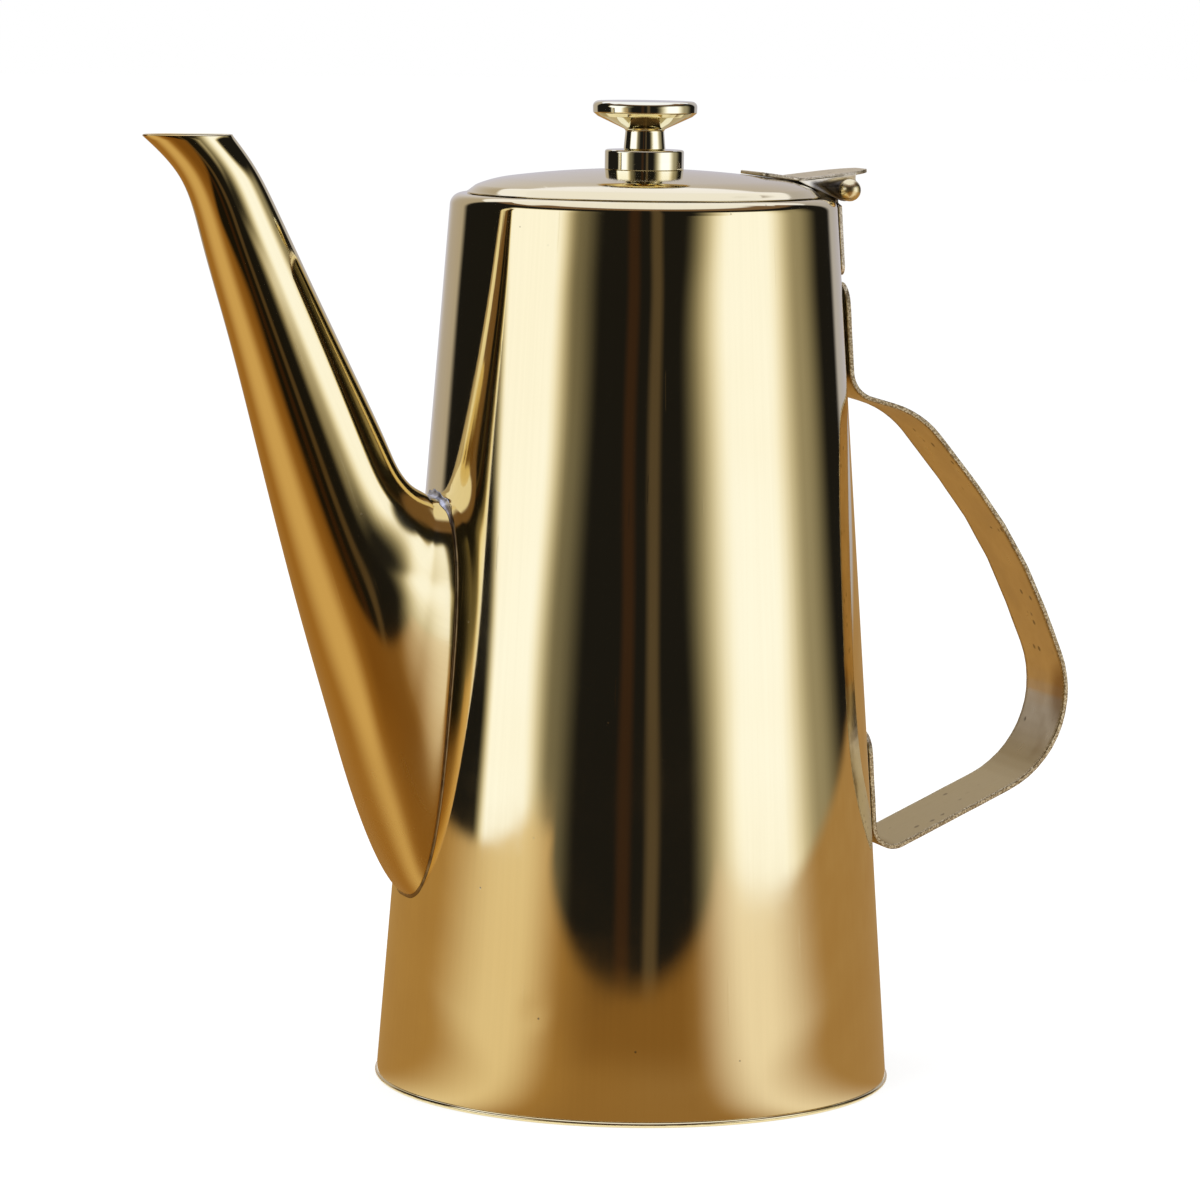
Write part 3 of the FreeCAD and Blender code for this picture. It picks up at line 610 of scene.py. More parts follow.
WALL_GOLD = polished_gold("polished_gold_wall", "upright")
SPOUT_GOLD = polished_gold("polished_gold_spout", "along", 0.04, 0.07)
LID_GOLD = polished_gold("polished_gold_lid", "round", 0.05, 0.07, 4e-6)
KNOB_GOLD = polished_gold("pale_gold_knob", "round", 0.03, 0.04, 2e-6, PALE_GOLD, PALE_GOLD_DEEP)
BALL_GOLD = polished_gold("satin_gold_balls", "round", 0.20, 0.08, 4e-6)
BASE_GOLD = polished_gold("polished_gold_base", "round", 0.07, 0.10, 6e-6)
STRAP_GOLD = satin_strap("satin_gold_strap", colour(0.93, 0.85, 0.68), colour(0.82, 0.73, 0.56),
                         (colour(0.30, 0.22, 0.11), colour(0.78, 0.67, 0.42)),
                         darker_leg=colour(0.46, 0.36, 0.19))
# The hinge gets painted shade under the leaf, by the pin.
HINGE_GOLD = satin_strap("satin_gold_hinge", colour(0.88, 0.81, 0.63), colour(0.75, 0.67, 0.49),
                         (colour(0.50, 0.42, 0.28), colour(0.93, 0.85, 0.64)), painted_shade=0.85)
WELD_GREY = bare_weld("bare_weld_metal")
PIN_STEEL = plain_steel("plain_turned_steel")


def mesh_of(name, shells):
    """A smooth-shaded mesh in metres from shells, with their UV and their marks."""
    start = np.cumsum([0] + [len(s["points"]) for s in shells])
    points = np.concatenate([s["points"] for s in shells]) * MM
    quads = np.concatenate([s["quads"] + k for s, k in zip(shells, start)])
    tris = np.concatenate([s["tris"] + k for s, k in zip(shells, start)])
    mesh = bpy.data.meshes.new(name)
    mesh.from_pydata(points.tolist(), [], quads.tolist() + tris.tolist())
    uv = np.concatenate([s["quad_uv"].reshape(-1, 2) for s in shells]
                        + [s["tri_uv"].reshape(-1, 2) for s in shells])
    mesh.uv_layers.new(name="UVMap").data.foreach_set("uv", uv.astype(np.float32).ravel())
    marks = np.concatenate([s["marks"] for s in shells])
    if marks.any():
        layer = mesh.attributes.new("mark", "FLOAT", "POINT")
        layer.data.foreach_set("value", marks.astype(np.float32))
    mesh.polygons.foreach_set("use_smooth", np.ones(len(mesh.polygons), bool))
    return mesh


def placed(name, data):
    made = bpy.data.objects.new(name, data)
    bpy.context.scene.collection.objects.link(made)
    return made


def piece(name, body, finish, node, *shells):
    """One object from its shells. It rides on its body and stands for its CAD node."""
    material, slot = finish
    made = placed(name, mesh_of(name, shells))
    made.data.materials.append(material)
    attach(made, body)
    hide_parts(node)
    return made


# Body and base

def make_body():
    """The sheet wall, round shoulder and turned-down lip as one closed section, turned.

    The wall is a little uneven, as hand-finished sheet is: a few hundredths of a millimetre in
    long waves, and one shallow dent low on the spout side.
    """
    across = SHEET / math.cos(LEAN)
    low = wall_radius(BASE_SEAT)
    lip_foot = BODY_HEIGHT - MOUTH_LIP_DEPTH
    under = BODY_HEIGHT - SHEET
    corners = [
        (low, BASE_SEAT), (RIM_RADIUS, BODY_HEIGHT), (MOUTH_RADIUS, BODY_HEIGHT),
        (MOUTH_RADIUS, lip_foot), (MOUTH_RADIUS + SHEET, lip_foot), (MOUTH_RADIUS + SHEET, under),
        (wall_radius(under) - across, under), (low - across, BASE_SEAT),
    ]
    radii = [CUT_EASE, SHOULDER_RADIUS, MOUTH_LIP_RADIUS, LIP_EASE, LIP_EASE,
             MOUTH_LIP_RADIUS - SHEET, SHOULDER_RADIUS - SHEET, CUT_EASE]
    skin = lathe(corners, radii, 2.6, 320, closed=True)
    p = skin["points"]
    angle, z = np.arctan2(p[:, 1], p[:, 0]), p[:, 2]
    straight = eased(2.0, 12.0, z) * (1 - eased(185.0, 200.0, z))
    wave = WALL_WAVE * unevenness(angle * 3 + z * 0.021, 3, (1, 2, 3)) \
        + WALL_RIPPLE * unevenness(angle * 5 - z * 0.045, 5, (1, 2))
    off = np.mod(angle - DENT_ANGLE + math.pi, math.tau) - math.pi
    run = off * wall_radius(DENT_HEIGHT)
    rise = z - DENT_HEIGHT
    dent = DENT_DEPTH * np.exp(-(run ** 2 / 11 + rise ** 2 / 5)) \
        - DENT_RIM * np.exp(-((run - 5) ** 2 / 14 + (rise + 1.5) ** 2 / 6))
    grown = 1 + (wave * straight - dent) / np.hypot(p[:, 0], p[:, 1])
    p[:, :2] *= grown[:, None]
    drill(piece("body", "pot", WALL_GOLD, "body_shell", skin))


def drill(body):
    """Cuts the strainer holes through the wall behind the spout, in staggered rows."""
    hole = polar(STRAINER_HOLE_RADIUS, turns(BIT_SIDES))
    bits = []
    for row in range(STRAINER_ROWS):
        height = STRAINER_LOW + (STRAINER_HIGH - STRAINER_LOW) * row / (STRAINER_ROWS - 1)
        for column in (-1, 0, 1) if row % 2 == 0 else (-0.5, 0.5):
            ring = hole + (column * STRAINER_STEP, height)
            bits.append(shell(np.stack([np.insert(ring, 0, -x, 1) for x in (BIT_START, BIT_END)])))
    bit = placed("drill_bits", mesh_of("drill_bits", bits))
    cut = body.modifiers.new("holes", "BOOLEAN")
    cut.object, cut.solver = bit, "EXACT"
    drilled = bpy.data.meshes.new_from_object(
        body.evaluated_get(bpy.context.evaluated_depsgraph_get()))
    drilled.set_sharp_from_angle(angle=math.radians(50))
    body.modifiers.remove(cut)
    body.data = drilled
    bpy.data.objects.remove(bit)


def make_base():
    """The dished base disc: a half-round edge under the wall, a flat ring and a raised middle."""
    edge = BASE_SEAT / 2
    rim = wall_radius(BASE_SEAT) + BASE_PROUD
    ring_inner = rim - edge - BASE_RING_WIDTH
    middle = ring_inner - BASE_STEP_RUN
    step = SHEET * math.tan(math.atan2(BASE_RECESS, BASE_STEP_RUN) / 2)
    flange = wall_radius(BASE_SEAT) - SHEET / math.cos(LEAN) - SHEET
    corners = [
        (0, BASE_RECESS), (middle, BASE_RECESS), (ring_inner, 0), (rim, 0), (rim, BASE_SEAT),
        (flange, BASE_SEAT), (flange, SHEET), (ring_inner + step, SHEET),
        (middle + step, BASE_RECESS + SHEET), (0, BASE_RECESS + SHEET),
    ]
    radii = [0, BASE_STEP_BEND, BASE_RING_BEND, edge * 0.98, edge * 0.98, 0.2, CUT_EASE,
             BASE_RING_BEND, BASE_STEP_BEND, 0]
    piece("base", "pot", BASE_GOLD, "base_disc", lathe(corners, radii, 2.5, 256))


# Spout

# Reach of the keel beyond the wall line and its height, the same of the throat, half width and
# squareness of the section. The first six count from the root, the others from the lip.
SPOUT_STATIONS = np.concatenate([
    np.array([0, SPOUT_HEEL, 0, SPOUT_THROAT, SPOUT_ROOT_HALF_WIDTH, 0]) + [
        (-3.0, -1.0, -3.0, -0.4, -0.6, 3.0), (1.2, 2.5, 1.0, 0, -0.2, 3.0),
        (9.4, 16.0, 3.2, 0.9, 0, 2.7), (19.0, 39.0, 6.2, 2.7, -0.2, 2.4),
        (29.4, 66.0, 10.0, 6.8, -2.2, 2.15), (40.4, 97.0, 14.2, 14.6, -4.6, 2.0)],
    np.array([0, SPOUT_RIM, 0, SPOUT_RIM, SPOUT_RIM_HALF_WIDTH, 0]) + [
        (53.6, -41.0, 34.0, -33.2, 2.7, 2.0), (60.6, -22.0, 44.0, -15.5, 1.5, 2.0),
        (66.2, -9.5, 49.3, -7.0, 0.5, 2.0), (75.9, 0, 55.0, 0, 0, 2.0)],
])
# The reaches become x, and the stations are spaced by the way along the middles of the sections
SPOUT_STATIONS[:, [0, 2]] = -wall_radius(SPOUT_STATIONS[:, [1, 3]]) - SPOUT_STATIONS[:, [0, 2]]
SPOUT_WAY = way_along((SPOUT_STATIONS[:, :2] + SPOUT_STATIONS[:, 2:4]) / 2)


def spout_points(way, turn, grown):
    """Points of the spout's skin: at each distance along it a superellipse between keel and throat.

    Along the section u = sign(c)|c|^(2/n), across it v = sign(s)|s|^(2/n), for the cosine c and
    sine s of the turn and the squareness n. All six measures follow smooth splines.
    """
    keel_x, keel_z, throat_x, throat_z, half_width, squareness = np.moveaxis(
        spline(SPOUT_WAY, SPOUT_STATIONS, way), -1, 0)
    dx, dz = keel_x - throat_x, keel_z - throat_z
    length = np.hypot(dx, dz)
    c, s = np.cos(turn), np.sin(turn)
    u = np.sign(c) * np.abs(c) ** (2 / squareness) * (length / 2 + grown) / length
    v = np.sign(s) * np.abs(s) ** (2 / squareness)
    x = (keel_x + throat_x) / 2 + dx * u
    z = (keel_z + throat_z) / 2 + dz * u
    return np.stack([x, v * (half_width + grown), z], -1)


def spout_root(turn, grown):
    """Distance along the spout at which its skin leaves the wall, for each turn."""
    way = np.linspace(0, SPOUT_WAY[-1] / 2, ROOT_SAMPLES)[:, None]
    p = spout_points(np.broadcast_to(way, (ROOT_SAMPLES, len(turn))), turn, grown)
    outside = np.hypot(p[..., 0], p[..., 1]) - wall_radius(p[..., 2])
    last = ROOT_SAMPLES - 1 - np.argmax(outside[::-1] < 0, axis=0)
    column = np.arange(len(turn))
    a, b = outside[last, column], outside[last + 1, column]
    return way[last, 0] + (way[1, 0] - way[0, 0]) * a / (a - b)


def section_turns(count):
    """Turns round a section, drawn towards keel and throat, where a squarer section is sparse."""
    even = turns(count)
    return even - 0.22 * np.sin(2 * even)


def make_spout():
    """The tapered spout: outer skin from the wall to the lip, a rolled edge, inner skin back."""
    turn = section_turns(144)
    round_lip = SPOUT_SHEET / 2
    lip = SPOUT_WAY[-1] - round_lip
    share = np.linspace(0, 1, 150)[:, None]
    share = share * 0.75 + 0.25 * share ** 2
    skins = []
    for grown in (0.0, -SPOUT_SHEET):
        start = spout_root(turn, grown)
        skins.append(spout_points(start + (lip - start) * share, turn, grown))
    outer, inner = skins[0], skins[1][::-1]
    roll = np.linspace(0, math.pi, 9)[1:-1, None, None]
    middle, arm = (outer[-1] + inner[0]) / 2, (outer[-1] - inner[0]) / 2
    edge = middle + arm * np.cos(roll) + np.array([0, 0, round_lip]) * np.sin(roll)
    rings = np.concatenate([outer, edge, inner])
    keel = np.broadcast_to((1 + np.cos(turn)) / 2, rings.shape[:2])
    piece("spout", "pot", SPOUT_GOLD, "spout", shell(rings, closed=True, marks=keel))


def make_spout_bead():
    """The weld in the corner between spout and wall: a hollow fillet, lumpy at the top notch.

    Each section runs from the wall to the spout along a curve pulled into the corner.
    """
    turn = section_turns(360)
    start = spout_root(turn, 0.0)
    foot = spout_points(start, turn, 0.0)
    rise = unit(spout_points(start + 0.8, turn, 0.0) - foot)
    normal = unit(np.column_stack([unit(foot[:, :2]), np.full(len(foot), TAPER)]))
    away = unit(np.cross(np.roll(foot, -1, 0) - np.roll(foot, 1, 0), normal))
    away *= np.sign(((foot - foot.mean(0)) * away).sum(1).mean())
    notch, peak = eased(127.0, 137.0, foot[:, 2]), eased(133.0, 137.5, foot[:, 2])
    distance = np.cumsum(np.linalg.norm(foot - np.roll(foot, 1, 0), axis=1))
    lump = 1 + 0.16 * unevenness(distance / 2.1, 11, (1, 2, 3)) * (0.5 + notch)
    leg = (SPOUT_BEAD * (0.5 + 0.3 * notch + 0.9 * peak) * lump)[:, None]
    wall_end, spout_end = foot + away * leg, foot + rise * leg
    corner = foot + (away + rise) * leg * 0.10 + normal * 0.02
    t = np.linspace(0, 1, 7)[:, None, None]
    curve = (1 - t) ** 2 * wall_end + 2 * t * (1 - t) * corner + t ** 2 * spout_end
    inside = foot - rise * 0.1 - normal * 0.05
    rings = np.concatenate([curve, inside[None]]).transpose(1, 0, 2)
    piece("spout_bead", "pot", WELD_GREY, "spout_weld_bead", shell(rings, closed=True))


# Handle

def make_handle():
    """One flat strap bent through five corners, with round-cornered tabs and sheared edges."""
    def narrowed(distance, length):
        uneven = HANDLE_SHEAR * unevenness(distance / 6, 7, (1, 2, 3, 5))
        return corner_cut(np.minimum(distance, length - distance), HANDLE_CORNER) - uneven

    corners = [(wall_radius(z) + reach, z) for reach, z in HANDLE_CORNERS]
    path = rounded(corners, HANDLE_BENDS, 1.0)
    piece("handle", "pot", STRAP_GOLD, "handle_strap",
          strip(path, 0.8, HANDLE_WIDTH, HANDLE_SHEET, HANDLE_EASE, narrowed))


# Hinge

def make_bracket():
    """A strip up the wall, narrowed between the ears and rolled round the pin."""
    def narrowed(distance, length):
        step = (BRACKET_WIDTH - KNUCKLE_WIDTH) / 2 * eased(shoulder - 0.7, shoulder, distance)
        return corner_cut(distance, BRACKET_CORNER) + step

    shoulder = PIN_Z - EAR_RADIUS - SWING_CLEARANCE - BRACKET_BOTTOM
    middle = KNUCKLE_RADIUS - BRACKET_SHEET / 2
    rise = np.linspace(BRACKET_BOTTOM, PIN_Z, 60)
    upright = np.stack([wall_radius(rise) + WELD_GAP + BRACKET_SHEET / 2, rise], 1)
    turn = np.linspace(math.pi, math.pi - BRACKET_ROLL, 60)[1:]
    roll = polar(middle, turn) + (PIN_X, PIN_Z)
    piece("bracket", "pot", HINGE_GOLD, "hinge_bracket",
          strip(np.concatenate([upright, roll]), 0.3, BRACKET_WIDTH, BRACKET_SHEET, HINGE_EASE,
                narrowed))


def make_pin():
    """The hinge pin, its ends slightly domed, and a turned ball pressed on each end."""
    centre = np.array([PIN_X, 0, PIN_Z])
    end = BALL_MIDDLE + BALL_RADIUS / 3
    corners = [(0, -end), (PIN_RADIUS, -end), (PIN_RADIUS, end), (0, end)]
    piece("pin", "pot", PIN_STEEL, "hinge_pin",
          lathe(corners, [0, 0.3, 0.3, 0], 0.5, 48, centre=centre))
    angle = np.linspace(0, math.pi, 49)
    ball = BALL_RADIUS * np.stack([np.sin(angle), -np.cos(angle)], 1)
    balls = [turned(ball, 96, centre=centre + (0, side * BALL_MIDDLE, 0)) for side in (-1, 1)]
    piece("pin_balls", "pot", BALL_GOLD, "pin_ball_ends", *balls)


# Lid

def lid_surface(r):
    """Height and slope of the lid's top at radius r: a wide crown arc, then a tighter edge arc.

    The edge arc leaves the crown at the crown's slope and comes down to the rim's height.
    """
    joint = math.asin(CROWN_REACH / CROWN_RADIUS)
    start = LID_TOP - CROWN_RADIUS * (1 - math.cos(joint))
    drop = LID_RISE - CROWN_RADIUS * (1 - math.cos(joint))
    rim = 2 * math.atan2(drop, LID_RADIUS - CROWN_REACH) - joint
    edge_radius = (LID_RADIUS - CROWN_REACH) / (math.sin(rim) - math.sin(joint))
    inner = np.arcsin(np.clip(r / CROWN_RADIUS, 0, math.sin(joint)))
    outer = np.arcsin(math.sin(joint) + np.maximum(r - CROWN_REACH, 0) / edge_radius)
    z = np.where(r <= CROWN_REACH, LID_TOP - CROWN_RADIUS * (1 - np.cos(inner)),
                 start - edge_radius * (math.cos(joint) - np.cos(outer)))
    return z, np.where(r <= CROWN_REACH, inner, outer)


def lid_under(r, depth):
    """Height of the surface at that depth under the lid's top, near radius r."""
    z, slope = lid_surface(r)
    return float(z - depth / np.cos(slope))


def make_lid():
    """The domed sheet of the lid, bored for the knob's screw.

    The last of its edge is pressed down to the shoulder and thinned, and ends in a small round.
    """
    r = np.concatenate([np.linspace(SCREW_RADIUS + SCREW_CLEARANCE, CROWN_REACH, 60),
                        np.linspace(CROWN_REACH, LID_RADIUS - 0.15, 60)[1:]])
    z, slope = lid_surface(r)
    pressed = eased(LID_RADIUS - LID_EDGE, LID_RADIUS, r)
    sheet = (SHEET - LID_THINNED * pressed)[:, None]
    top = np.stack([r, z - LID_PRESSED * pressed], 1)
    down = np.stack([-np.sin(slope), -np.cos(slope)], 1)
    under = top + down * sheet
    middle, half = (top[-1] + under[-1]) / 2, sheet[-1] / 2
    out = np.array([math.cos(slope[-1]), -math.sin(slope[-1])])
    turn = np.linspace(0, math.pi, 11)[1:-1, None]
    edge = middle + half * (out * np.sin(turn) - down[-1] * np.cos(turn))
    profile = np.concatenate([top, edge, under[::-1]])
    piece("lid", "lid", LID_GOLD, "lid_dome", turned(profile, 256, closed=True))


def make_skirt():
    """The ring that drops into the mouth, flanged under the lid."""
    inner, low = SKIRT_RADIUS - SHEET, BODY_HEIGHT - SKIRT_DEPTH
    lip = SKIRT_RADIUS - SKIRT_FLANGE
    corners = [
        (SKIRT_RADIUS, low), (SKIRT_RADIUS, lid_under(SKIRT_RADIUS, SHEET) - 0.02),
        (lip, lid_under(lip, SHEET) - 0.02), (lip, lid_under(lip, 2 * SHEET)),
        (inner, lid_under(inner, 2 * SHEET)), (inner, low),
    ]
    piece("lid_skirt", "lid", LID_GOLD, "lid_skirt",
          lathe(corners, [LIP_EASE, 0.5, 0.2, 0.2, 0.3, LIP_EASE], 1.5, 192, closed=True))


def ear(side):
    """One ear of the leaf: a plate from the tab down round the pin, bored for it.

    About the pin's axis its outline is the nearer of the tab's underside, the sloping front edge
    and a circle, so each bearing has one distance.
    """
    angle = turns(144)
    pin = np.array([PIN_X, PIN_Z])
    left, right = (np.array([x, tab_under(x) + EAR_OVERLAP]) - pin
                   for x in (EAR_START, PIN_X + EAR_RADIUS))
    touch = math.atan2(left[1], left[0]) + math.acos(EAR_RADIUS / math.hypot(*left))
    round_end = np.linspace(touch, math.tau, 40)
    circle = polar(EAR_RADIUS, round_end)
    loop = np.concatenate([circle, [right, left], circle[:1]])
    loop = resampled(loop, np.linspace(0, way_along(loop)[-1], 900))
    far = np.interp(angle, np.arctan2(loop[:, 1], loop[:, 0]), np.hypot(loop[:, 0], loop[:, 1]),
                    period=math.tau)
    hole, bevel, half = np.full_like(far, PIN_RADIUS + PIN_CLEARANCE), CUT_EASE, LEAF_SHEET / 2
    outside = [(-1, -half), (-0.3, -half), (0, -half + bevel), (0, half - bevel), (-0.3, half),
               (-1, half)]
    rows = [(far + inset * bevel, y) for inset, y in outside] + [(hole, half), (hole, -half)]
    middle = side * (LEAF_WIDTH - LEAF_SHEET) / 2
    rings = [np.insert(polar(d, angle) + pin, 1, middle + y, 1) for d, y in rows]
    return shell(np.stack(rings), closed=True)


def leaf_seat():
    """Height of the leaf's underside over its seat on the lid, and the lid's slope there."""
    z, slope = map(float, lid_surface(LEAF_SEAT))
    return z + LEAF_GAP / math.cos(slope), slope


def tab_under(x):
    """Height of the thumb tab's underside at x."""
    z, slope = leaf_seat()
    return z - (LEAF_BEND - LEAF_SEAT) * math.tan(slope) + (x - LEAF_BEND) * math.tan(TAB_SLOPE)


def make_leaf():
    """The hinge leaf: a pad on the lid, a thumb tab raised behind it, two ears down to the pin."""
    def narrowed(distance, length):
        tip = np.clip(1 - (length - distance) / TAB_ROUND, 0, 1)
        nick = LEAF_NICK * np.exp(-((distance - LEAF_NICK_PLACE) / 0.5) ** 2)
        return LEAF_WIDTH / 2 * (1 - np.sqrt(1 - 0.9 * tip ** 2)) \
            + corner_cut(distance, LEAF_CORNER) + nick

    z, slope = leaf_seat()
    half = LEAF_SHEET / 2
    start = (LEAF_START, z + (LEAF_SEAT - LEAF_START) * math.tan(slope) + half)
    tab = [(x, tab_under(x) + half) for x in (LEAF_BEND, TAB_TIP)]
    path = rounded([start] + tab, [0, LEAF_BEND_RADIUS, 0], 0.5)
    piece("leaf", "lid", HINGE_GOLD, "lid_leaf",
          strip(path, 0.35, LEAF_WIDTH, LEAF_SHEET, HINGE_EASE, narrowed), ear(-1), ear(1))


def make_knob():
    """The turned knob: a necked disc screwed down on a collar, a screw and a dished washer."""
    foot = LID_TOP + COLLAR_HEIGHT
    neck_top = foot + NECK_HEIGHT
    under = neck_top + DISC_CONE_HEIGHT
    top = under + DISC_RIM_HEIGHT
    bore = SCREW_RADIUS + THREAD_CLEARANCE
    depth = foot + SCREW_BITE + SCREW_CLEARANCE
    corners = [
        (0, depth), (bore, depth), (bore, foot), (NECK_FOOT_RADIUS, foot),
        (NECK_TOP_RADIUS, neck_top), (DISC_UNDER_RADIUS, under), (DISC_RADIUS - 0.08, under + 0.9),
        (DISC_RADIUS, top - 0.05), (DISC_RADIUS - 4.0, top), (0, top),
    ]
    radii = [0, 0.2, 0.15, 0.3, 0.7, 0.9, 0.5, 1.3, 9.0, 0]
    piece("knob", "lid", KNOB_GOLD, "knob_head", lathe(corners, radii, 0.6, 192))
    hole = SCREW_RADIUS + SCREW_CLEARANCE
    ring = [(hole, foot), (COLLAR_RADIUS, foot), (COLLAR_RADIUS, lid_under(COLLAR_RADIUS, 0)),
            (hole, lid_under(hole, 0))]
    piece("knob_collar", "lid", KNOB_GOLD, "knob_collar",
          lathe(ring, [0.3, 0.55, CUT_EASE, CUT_EASE], 0.7, 192, closed=True))
    seat = LID_TOP - SHEET - WASHER_SHEET - 0.08
    head = seat - SCREW_HEAD_HEIGHT
    tip = foot + SCREW_BITE
    stud = [(0, head + SCREW_RECESS), (SCREW_RECESS_RADIUS, head + SCREW_RECESS),
            (SCREW_RECESS_RADIUS, head), (SCREW_HEAD_RADIUS, head + 0.1),
            (SCREW_HEAD_RADIUS, seat), (SCREW_RADIUS, seat), (SCREW_RADIUS, tip), (0, tip)]
    piece("knob_screw", "lid", PIN_STEEL, "knob_screw",
          lathe(stud, [0, CUT_EASE, CUT_EASE, 1.2, 0.1, 0.2, 0.3, 0], 0.5, 96))
    under = SHEET + WASHER_SHEET
    disc = [(hole, lid_under(hole, SHEET) - 0.01),
            (WASHER_RADIUS, lid_under(WASHER_RADIUS, SHEET) - 0.01),
            (WASHER_RADIUS, lid_under(WASHER_RADIUS, under)), (hole, lid_under(hole, under))]
    piece("screw_washer", "lid", PIN_STEEL, "screw_washer",
          lathe(disc, [CUT_EASE] * 4, 0.8, 96, closed=True))


make_body()
make_base()
make_spout()
make_spout_bead()
make_handle()
make_bracket()
make_pin()
make_lid()
make_skirt()
make_leaf()
make_knob()

for node in ("handle_spot_welds", "bracket_spot_welds", "leaf_spot_welds"):
    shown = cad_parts[node]
    shown.data.materials.clear()
    shown.data.materials.append(WELD_GREY[0])


# Studio

CAMERA_PLACE = np.array([-407.50, -1119.61, 254.92]) * MM
CAMERA_LOOK = np.array([0.33267, 0.93549, -0.11909])
CAMERA_ROLL = math.radians(0.8)
CAMERA_LENS = 154.29
CAMERA_SENSOR = 36.0
LAMP_AIM = np.array([0, 0, 0.1])
FLOOR_REACH = 12.0
FLOOR_PLAIN = 0.72
WHITE = colour(1, 1, 1)


def aimed(name, data, side, over, back, place):
    """An object with the given axes at a place. A camera or a lamp looks along -back."""
    made = placed(name, data)
    matrix = np.eye(4)
    matrix[:3] = np.column_stack([side, over, back, place])
    made.matrix_world = Matrix(matrix.tolist())
    return made


def make_camera():
    """A long lens at the photograph's viewing angle, its axes built from the line of sight."""
    look = unit(CAMERA_LOOK)
    level = unit(np.array([look[1], -look[0], 0]))
    up = np.cross(level, look)
    right = math.cos(CAMERA_ROLL) * level + math.sin(CAMERA_ROLL) * up
    top = math.cos(CAMERA_ROLL) * up - math.sin(CAMERA_ROLL) * level
    lens = bpy.data.cameras.new("camera")
    lens.lens, lens.sensor_width = CAMERA_LENS, CAMERA_SENSOR
    lens.clip_start, lens.clip_end = 0.05, 50.0
    bpy.context.scene.camera = aimed("camera", lens, right, top, -look, CAMERA_PLACE)


def stage_object(name, points, faces, material):
    mesh = bpy.data.meshes.new(name)
    mesh.from_pydata(points, [], faces)
    mesh.materials.append(material)
    made = placed(name, mesh)
    return made


def seen_white(b):
    """1 for camera, glossy and transmission rays, which see the white studio."""
    rays = [b.add("LightPath", out=k)
            for k in ("Is Camera Ray", "Is Glossy Ray", "Is Transmission Ray")]
    return b.maths("MINIMUM", rays[0] + rays[1] + rays[2], 1.0)


def make_floor():
    """A wide pale floor: mostly plain white to the eye, with enough diffuse for the shadow."""
    material, b = new_finish("white_floor")
    lit = b.add("BsdfDiffuse", {"Color": colour(0.95, 0.95, 0.95)})
    plain = b.add("Emission", {"Color": WHITE, "Strength": 1.0})
    share = seen_white(b) * FLOOR_PLAIN
    b.show(b.add("MixShader", {0: share, 1: lit, 2: plain}))
    corners = FLOOR_REACH * np.array([(-1, -1, 0), (1, -1, 0), (1, 1, 0), (-1, 1, 0)])
    stage_object("floor", corners.tolist(), [(0, 1, 2, 3)], material)


def make_world():
    """Even white light from all round, a little stronger on what it lights than to the eye."""
    world = bpy.data.worlds.new("studio")
    world.use_nodes = True
    bpy.context.scene.world = world
    b = Bench(world.node_tree)
    lit, plain = (b.add("Background", {"Color": WHITE, "Strength": strength})
                  for strength in (1.12, 1.0))
    both = b.add("MixShader", {0: seen_white(b), 1: lit, 2: plain})
    b.add("OutputWorld", {"Surface": both})


def make_lamps():
    """Two large soft lamps, left and right of the camera, and one overhead."""
    for name, place, size, power in (
            ("lamp_left", (-1.6, -0.9, 1.3), 1.2, 14.0),
            ("lamp_right", (1.5, -1.2, 1.3), 1.2, 12.0),
            ("lamp_top", (0.0, 0.2, 2.2), 1.6, 18.0)):
        data = bpy.data.lights.new(name, "AREA")
        data.shape, data.size, data.energy = "DISK", size, power
        back = unit(place - LAMP_AIM)
        side = unit(np.cross((0, 1, 0) if abs(back[2]) > 0.9 else (0, 0, 1), back))
        aimed(name, data, side, np.cross(back, side), back, place).visible_glossy = False


ROOM_RADIUS = 2.8
ROOM_HEIGHT = 3.2
ROOM_SIDES = 96
TABLE_HOLE = 0.0612
TABLE_TOP = 3e-4
VIEW_BEARING = math.radians(20.0)

# Light of the room and the table. A pair is the left side and the right side.
ROOM_DARK = colour(0.012, 0.0115, 0.012)
UPRIGHT_BROWN = colour(0.095, 0.070, 0.045)
UPRIGHT_RED = colour(0.040, 0.021, 0.013)
UPPER_BROWN = colour(0.20, 0.13, 0.09)
GREY_WALL = colour(0.47, 0.43, 0.42), colour(0.48, 0.48, 0.58)
BACK_WALL = colour(0.62, 0.61, 0.69), colour(0.53, 0.51, 0.57)
HIGH_WALL = colour(1.02, 1.10, 1.50)
CEILING = colour(0.98, 1.06, 1.45)
BOX_FRINGE = colour(0.95, 0.86, 0.62)
BOX_WHITE = colour(1.15, 1.25, 1.62)
TABLE_BROWN = colour(0.44, 0.26, 0.09), colour(0.42, 0.265, 0.12)
TABLE_GRAIN = colour(0.36, 0.20, 0.07)
TABLE_FRONT = colour(0.245, 0.125, 0.034)
TABLE_SHINE = colour(0.82, 0.68, 0.48), colour(0.95, 0.89, 0.88)


def room_ways(b):
    """Bearing in degrees from the camera's side, positive to its right, and the distance ahead, to
    the right and from the pot's axis, and the height."""
    x, y, z = b.parts(b.coordinates())
    sine, cosine = math.sin(VIEW_BEARING), math.cos(VIEW_BEARING)
    ahead, right = x * -sine + y * -cosine, x * cosine + y * -sine
    bearing = b.maths("ARCTAN2", right, ahead) * (180 / math.pi)
    return bearing, ahead, right, b.hypot(ahead, right), z


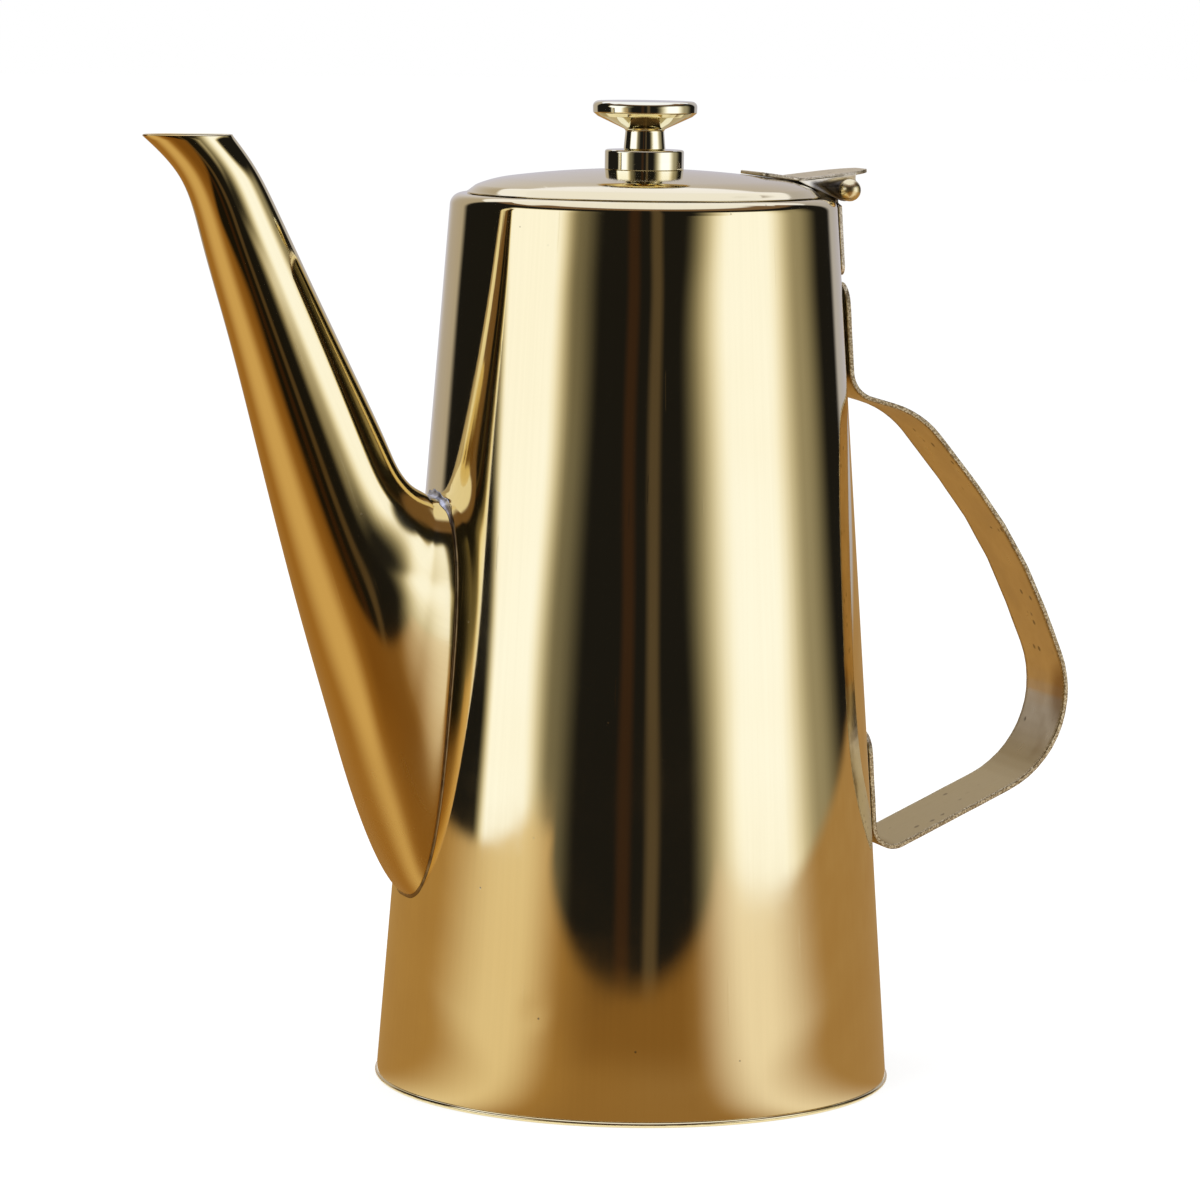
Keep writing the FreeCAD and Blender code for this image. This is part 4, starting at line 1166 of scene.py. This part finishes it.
def room_light(b, bearing, right, z):
    """Light of the room round the pot, as the polish shows it.

    Two pale soft boxes stand left and right, each fading slowly on one side. Between and above
    them the room is dark, with two dim brown uprights, and a grey wall is behind.
    """
    foot = z.from_to(0.05, 0.45, 1, 0)
    inner = bearing + foot * 5
    outer = bearing - foot * 6 - z.from_to(0.35, 0.60, 0, 9)
    left_fade = inner.from_to(-52, -36, 0.82, 0) + inner.from_to(-37, -22, 0.18, 0)
    right_fade = bearing.from_to(74, 100, 0.68, 0) + bearing.from_to(100, 124, 0.32, 0)
    left_box = (bearing - foot * 8).from_to(-91, -83) * left_fade * z.from_to(1.2, 1.6, 1, 0)
    right_box = outer.from_to(19, 49) * right_fade * z.from_to(1.4, 1.68, 1, 0)
    boxes = left_box + right_box
    light = b.mix(abs(bearing - 8).from_to(1, 5, 1, 0), ROOM_DARK, UPRIGHT_BROWN)
    light = b.mix(abs(bearing + 5).from_to(1, 5, 1, 0), light, UPRIGHT_RED)
    light = b.mix(z.from_to(2.3, 2.7), light, UPPER_BROWN)
    side = right.from_to(-0.5, 0.5)
    grey = b.mix(abs(bearing).from_to(150, 172), b.mix(side, *GREY_WALL), b.mix(side, *BACK_WALL))
    grey = b.mix(z.from_to(1.90, 2.05), grey, HIGH_WALL)
    light = b.mix(bearing.from_to(-127, -135) + bearing.from_to(138, 146), light, grey)
    light = b.mix(boxes, light, BOX_FRINGE)
    return b.mix(boxes * boxes * boxes, light, BOX_WHITE)


def mirrored(name, material, b, light, *rings, roof=False):
    """A band of light between two rings of a radius and height, which only the polish sees."""
    b.show(b.add("Emission", {"Color": light, "Strength": 1.0}))
    material.cycles.emission_sampling = "NONE"
    turn, k = turns(ROOM_SIDES), np.arange(ROOM_SIDES)
    points = np.concatenate([np.insert(polar(r, turn), 2, z, 1) for r, z in rings])
    after = np.roll(k, -1)
    faces = np.stack([k, after, after + ROOM_SIDES, k + ROOM_SIDES], 1).tolist()
    if roof:
        faces.append((k + ROOM_SIDES).tolist())
    made = stage_object(name, points.tolist(), faces, material)
    made.visible_camera = made.visible_diffuse = False
    made.visible_transmission = made.visible_shadow = False


def make_room():
    """The room that the polish mirrors: a drum of wall and ceiling."""
    material, b = new_finish("room_light")
    bearing, _, right, aside, z = room_ways(b)
    light = room_light(b, bearing, right, z)
    fore = aside.from_to(1.75, 2.25) * bearing.from_to(-100, -84) * bearing.from_to(124, 140, 1, 0)
    above = b.mix(fore, CEILING, UPPER_BROWN)
    light = b.mix(z.from_to(ROOM_HEIGHT - 0.1, ROOM_HEIGHT - 0.05), light, above)
    mirrored("room", material, b, light, (ROOM_RADIUS, 0), (ROOM_RADIUS, ROOM_HEIGHT), roof=True)


def make_table():
    """The table under the pot: brown, darker in front, glaring below the soft boxes. Past its
    edges the room goes on."""
    material, b = new_finish("table_light")
    bearing, ahead, right, aside, z = room_ways(b)
    wood = b.noise(b.coordinates(), 7.0, 4.0, 0.6)
    side = right.from_to(-0.08, 0.08)
    brown = b.mix(wood.from_to(0.3, 0.7, 0, 0.3), b.mix(side, *TABLE_BROWN), TABLE_GRAIN)
    front = bearing.from_to(-46, -14) * bearing.from_to(20, 40, 1, 0)
    brown = b.mix(front * aside.from_to(0.15, 0.40, 0.6, 1), brown, TABLE_FRONT)
    near = aside.from_to(0.14, 0.30, 14, 0)
    glare = (bearing - near).from_to(-104, -62) * bearing.from_to(-54, -30, 1, 0) \
        + bearing.from_to(26, 52) * (bearing + near).from_to(58, 98, 1, 0)
    table = b.mix(glare, brown, b.mix(side, *TABLE_SHINE))
    past_front = (ahead - right * right * 0.5).from_to(0.62, 0.92)
    past_right = (right - ahead * 0.15).from_to(0.82, 1.02)
    past_left = (right * -1.0 - ahead * 0.6).from_to(0.95, 1.08)
    beyond = b.maths("MAXIMUM", past_front, b.maths("MAXIMUM", past_left, past_right))
    table = b.mix(beyond, table, room_light(b, bearing, right, z))
    mirrored("table", material, b, table, (TABLE_HOLE, TABLE_TOP), (ROOM_RADIUS, TABLE_TOP))


make_camera()
make_floor()
make_world()
make_lamps()
make_room()
make_table()
bpy.context.scene.view_settings.view_transform = "Standard"
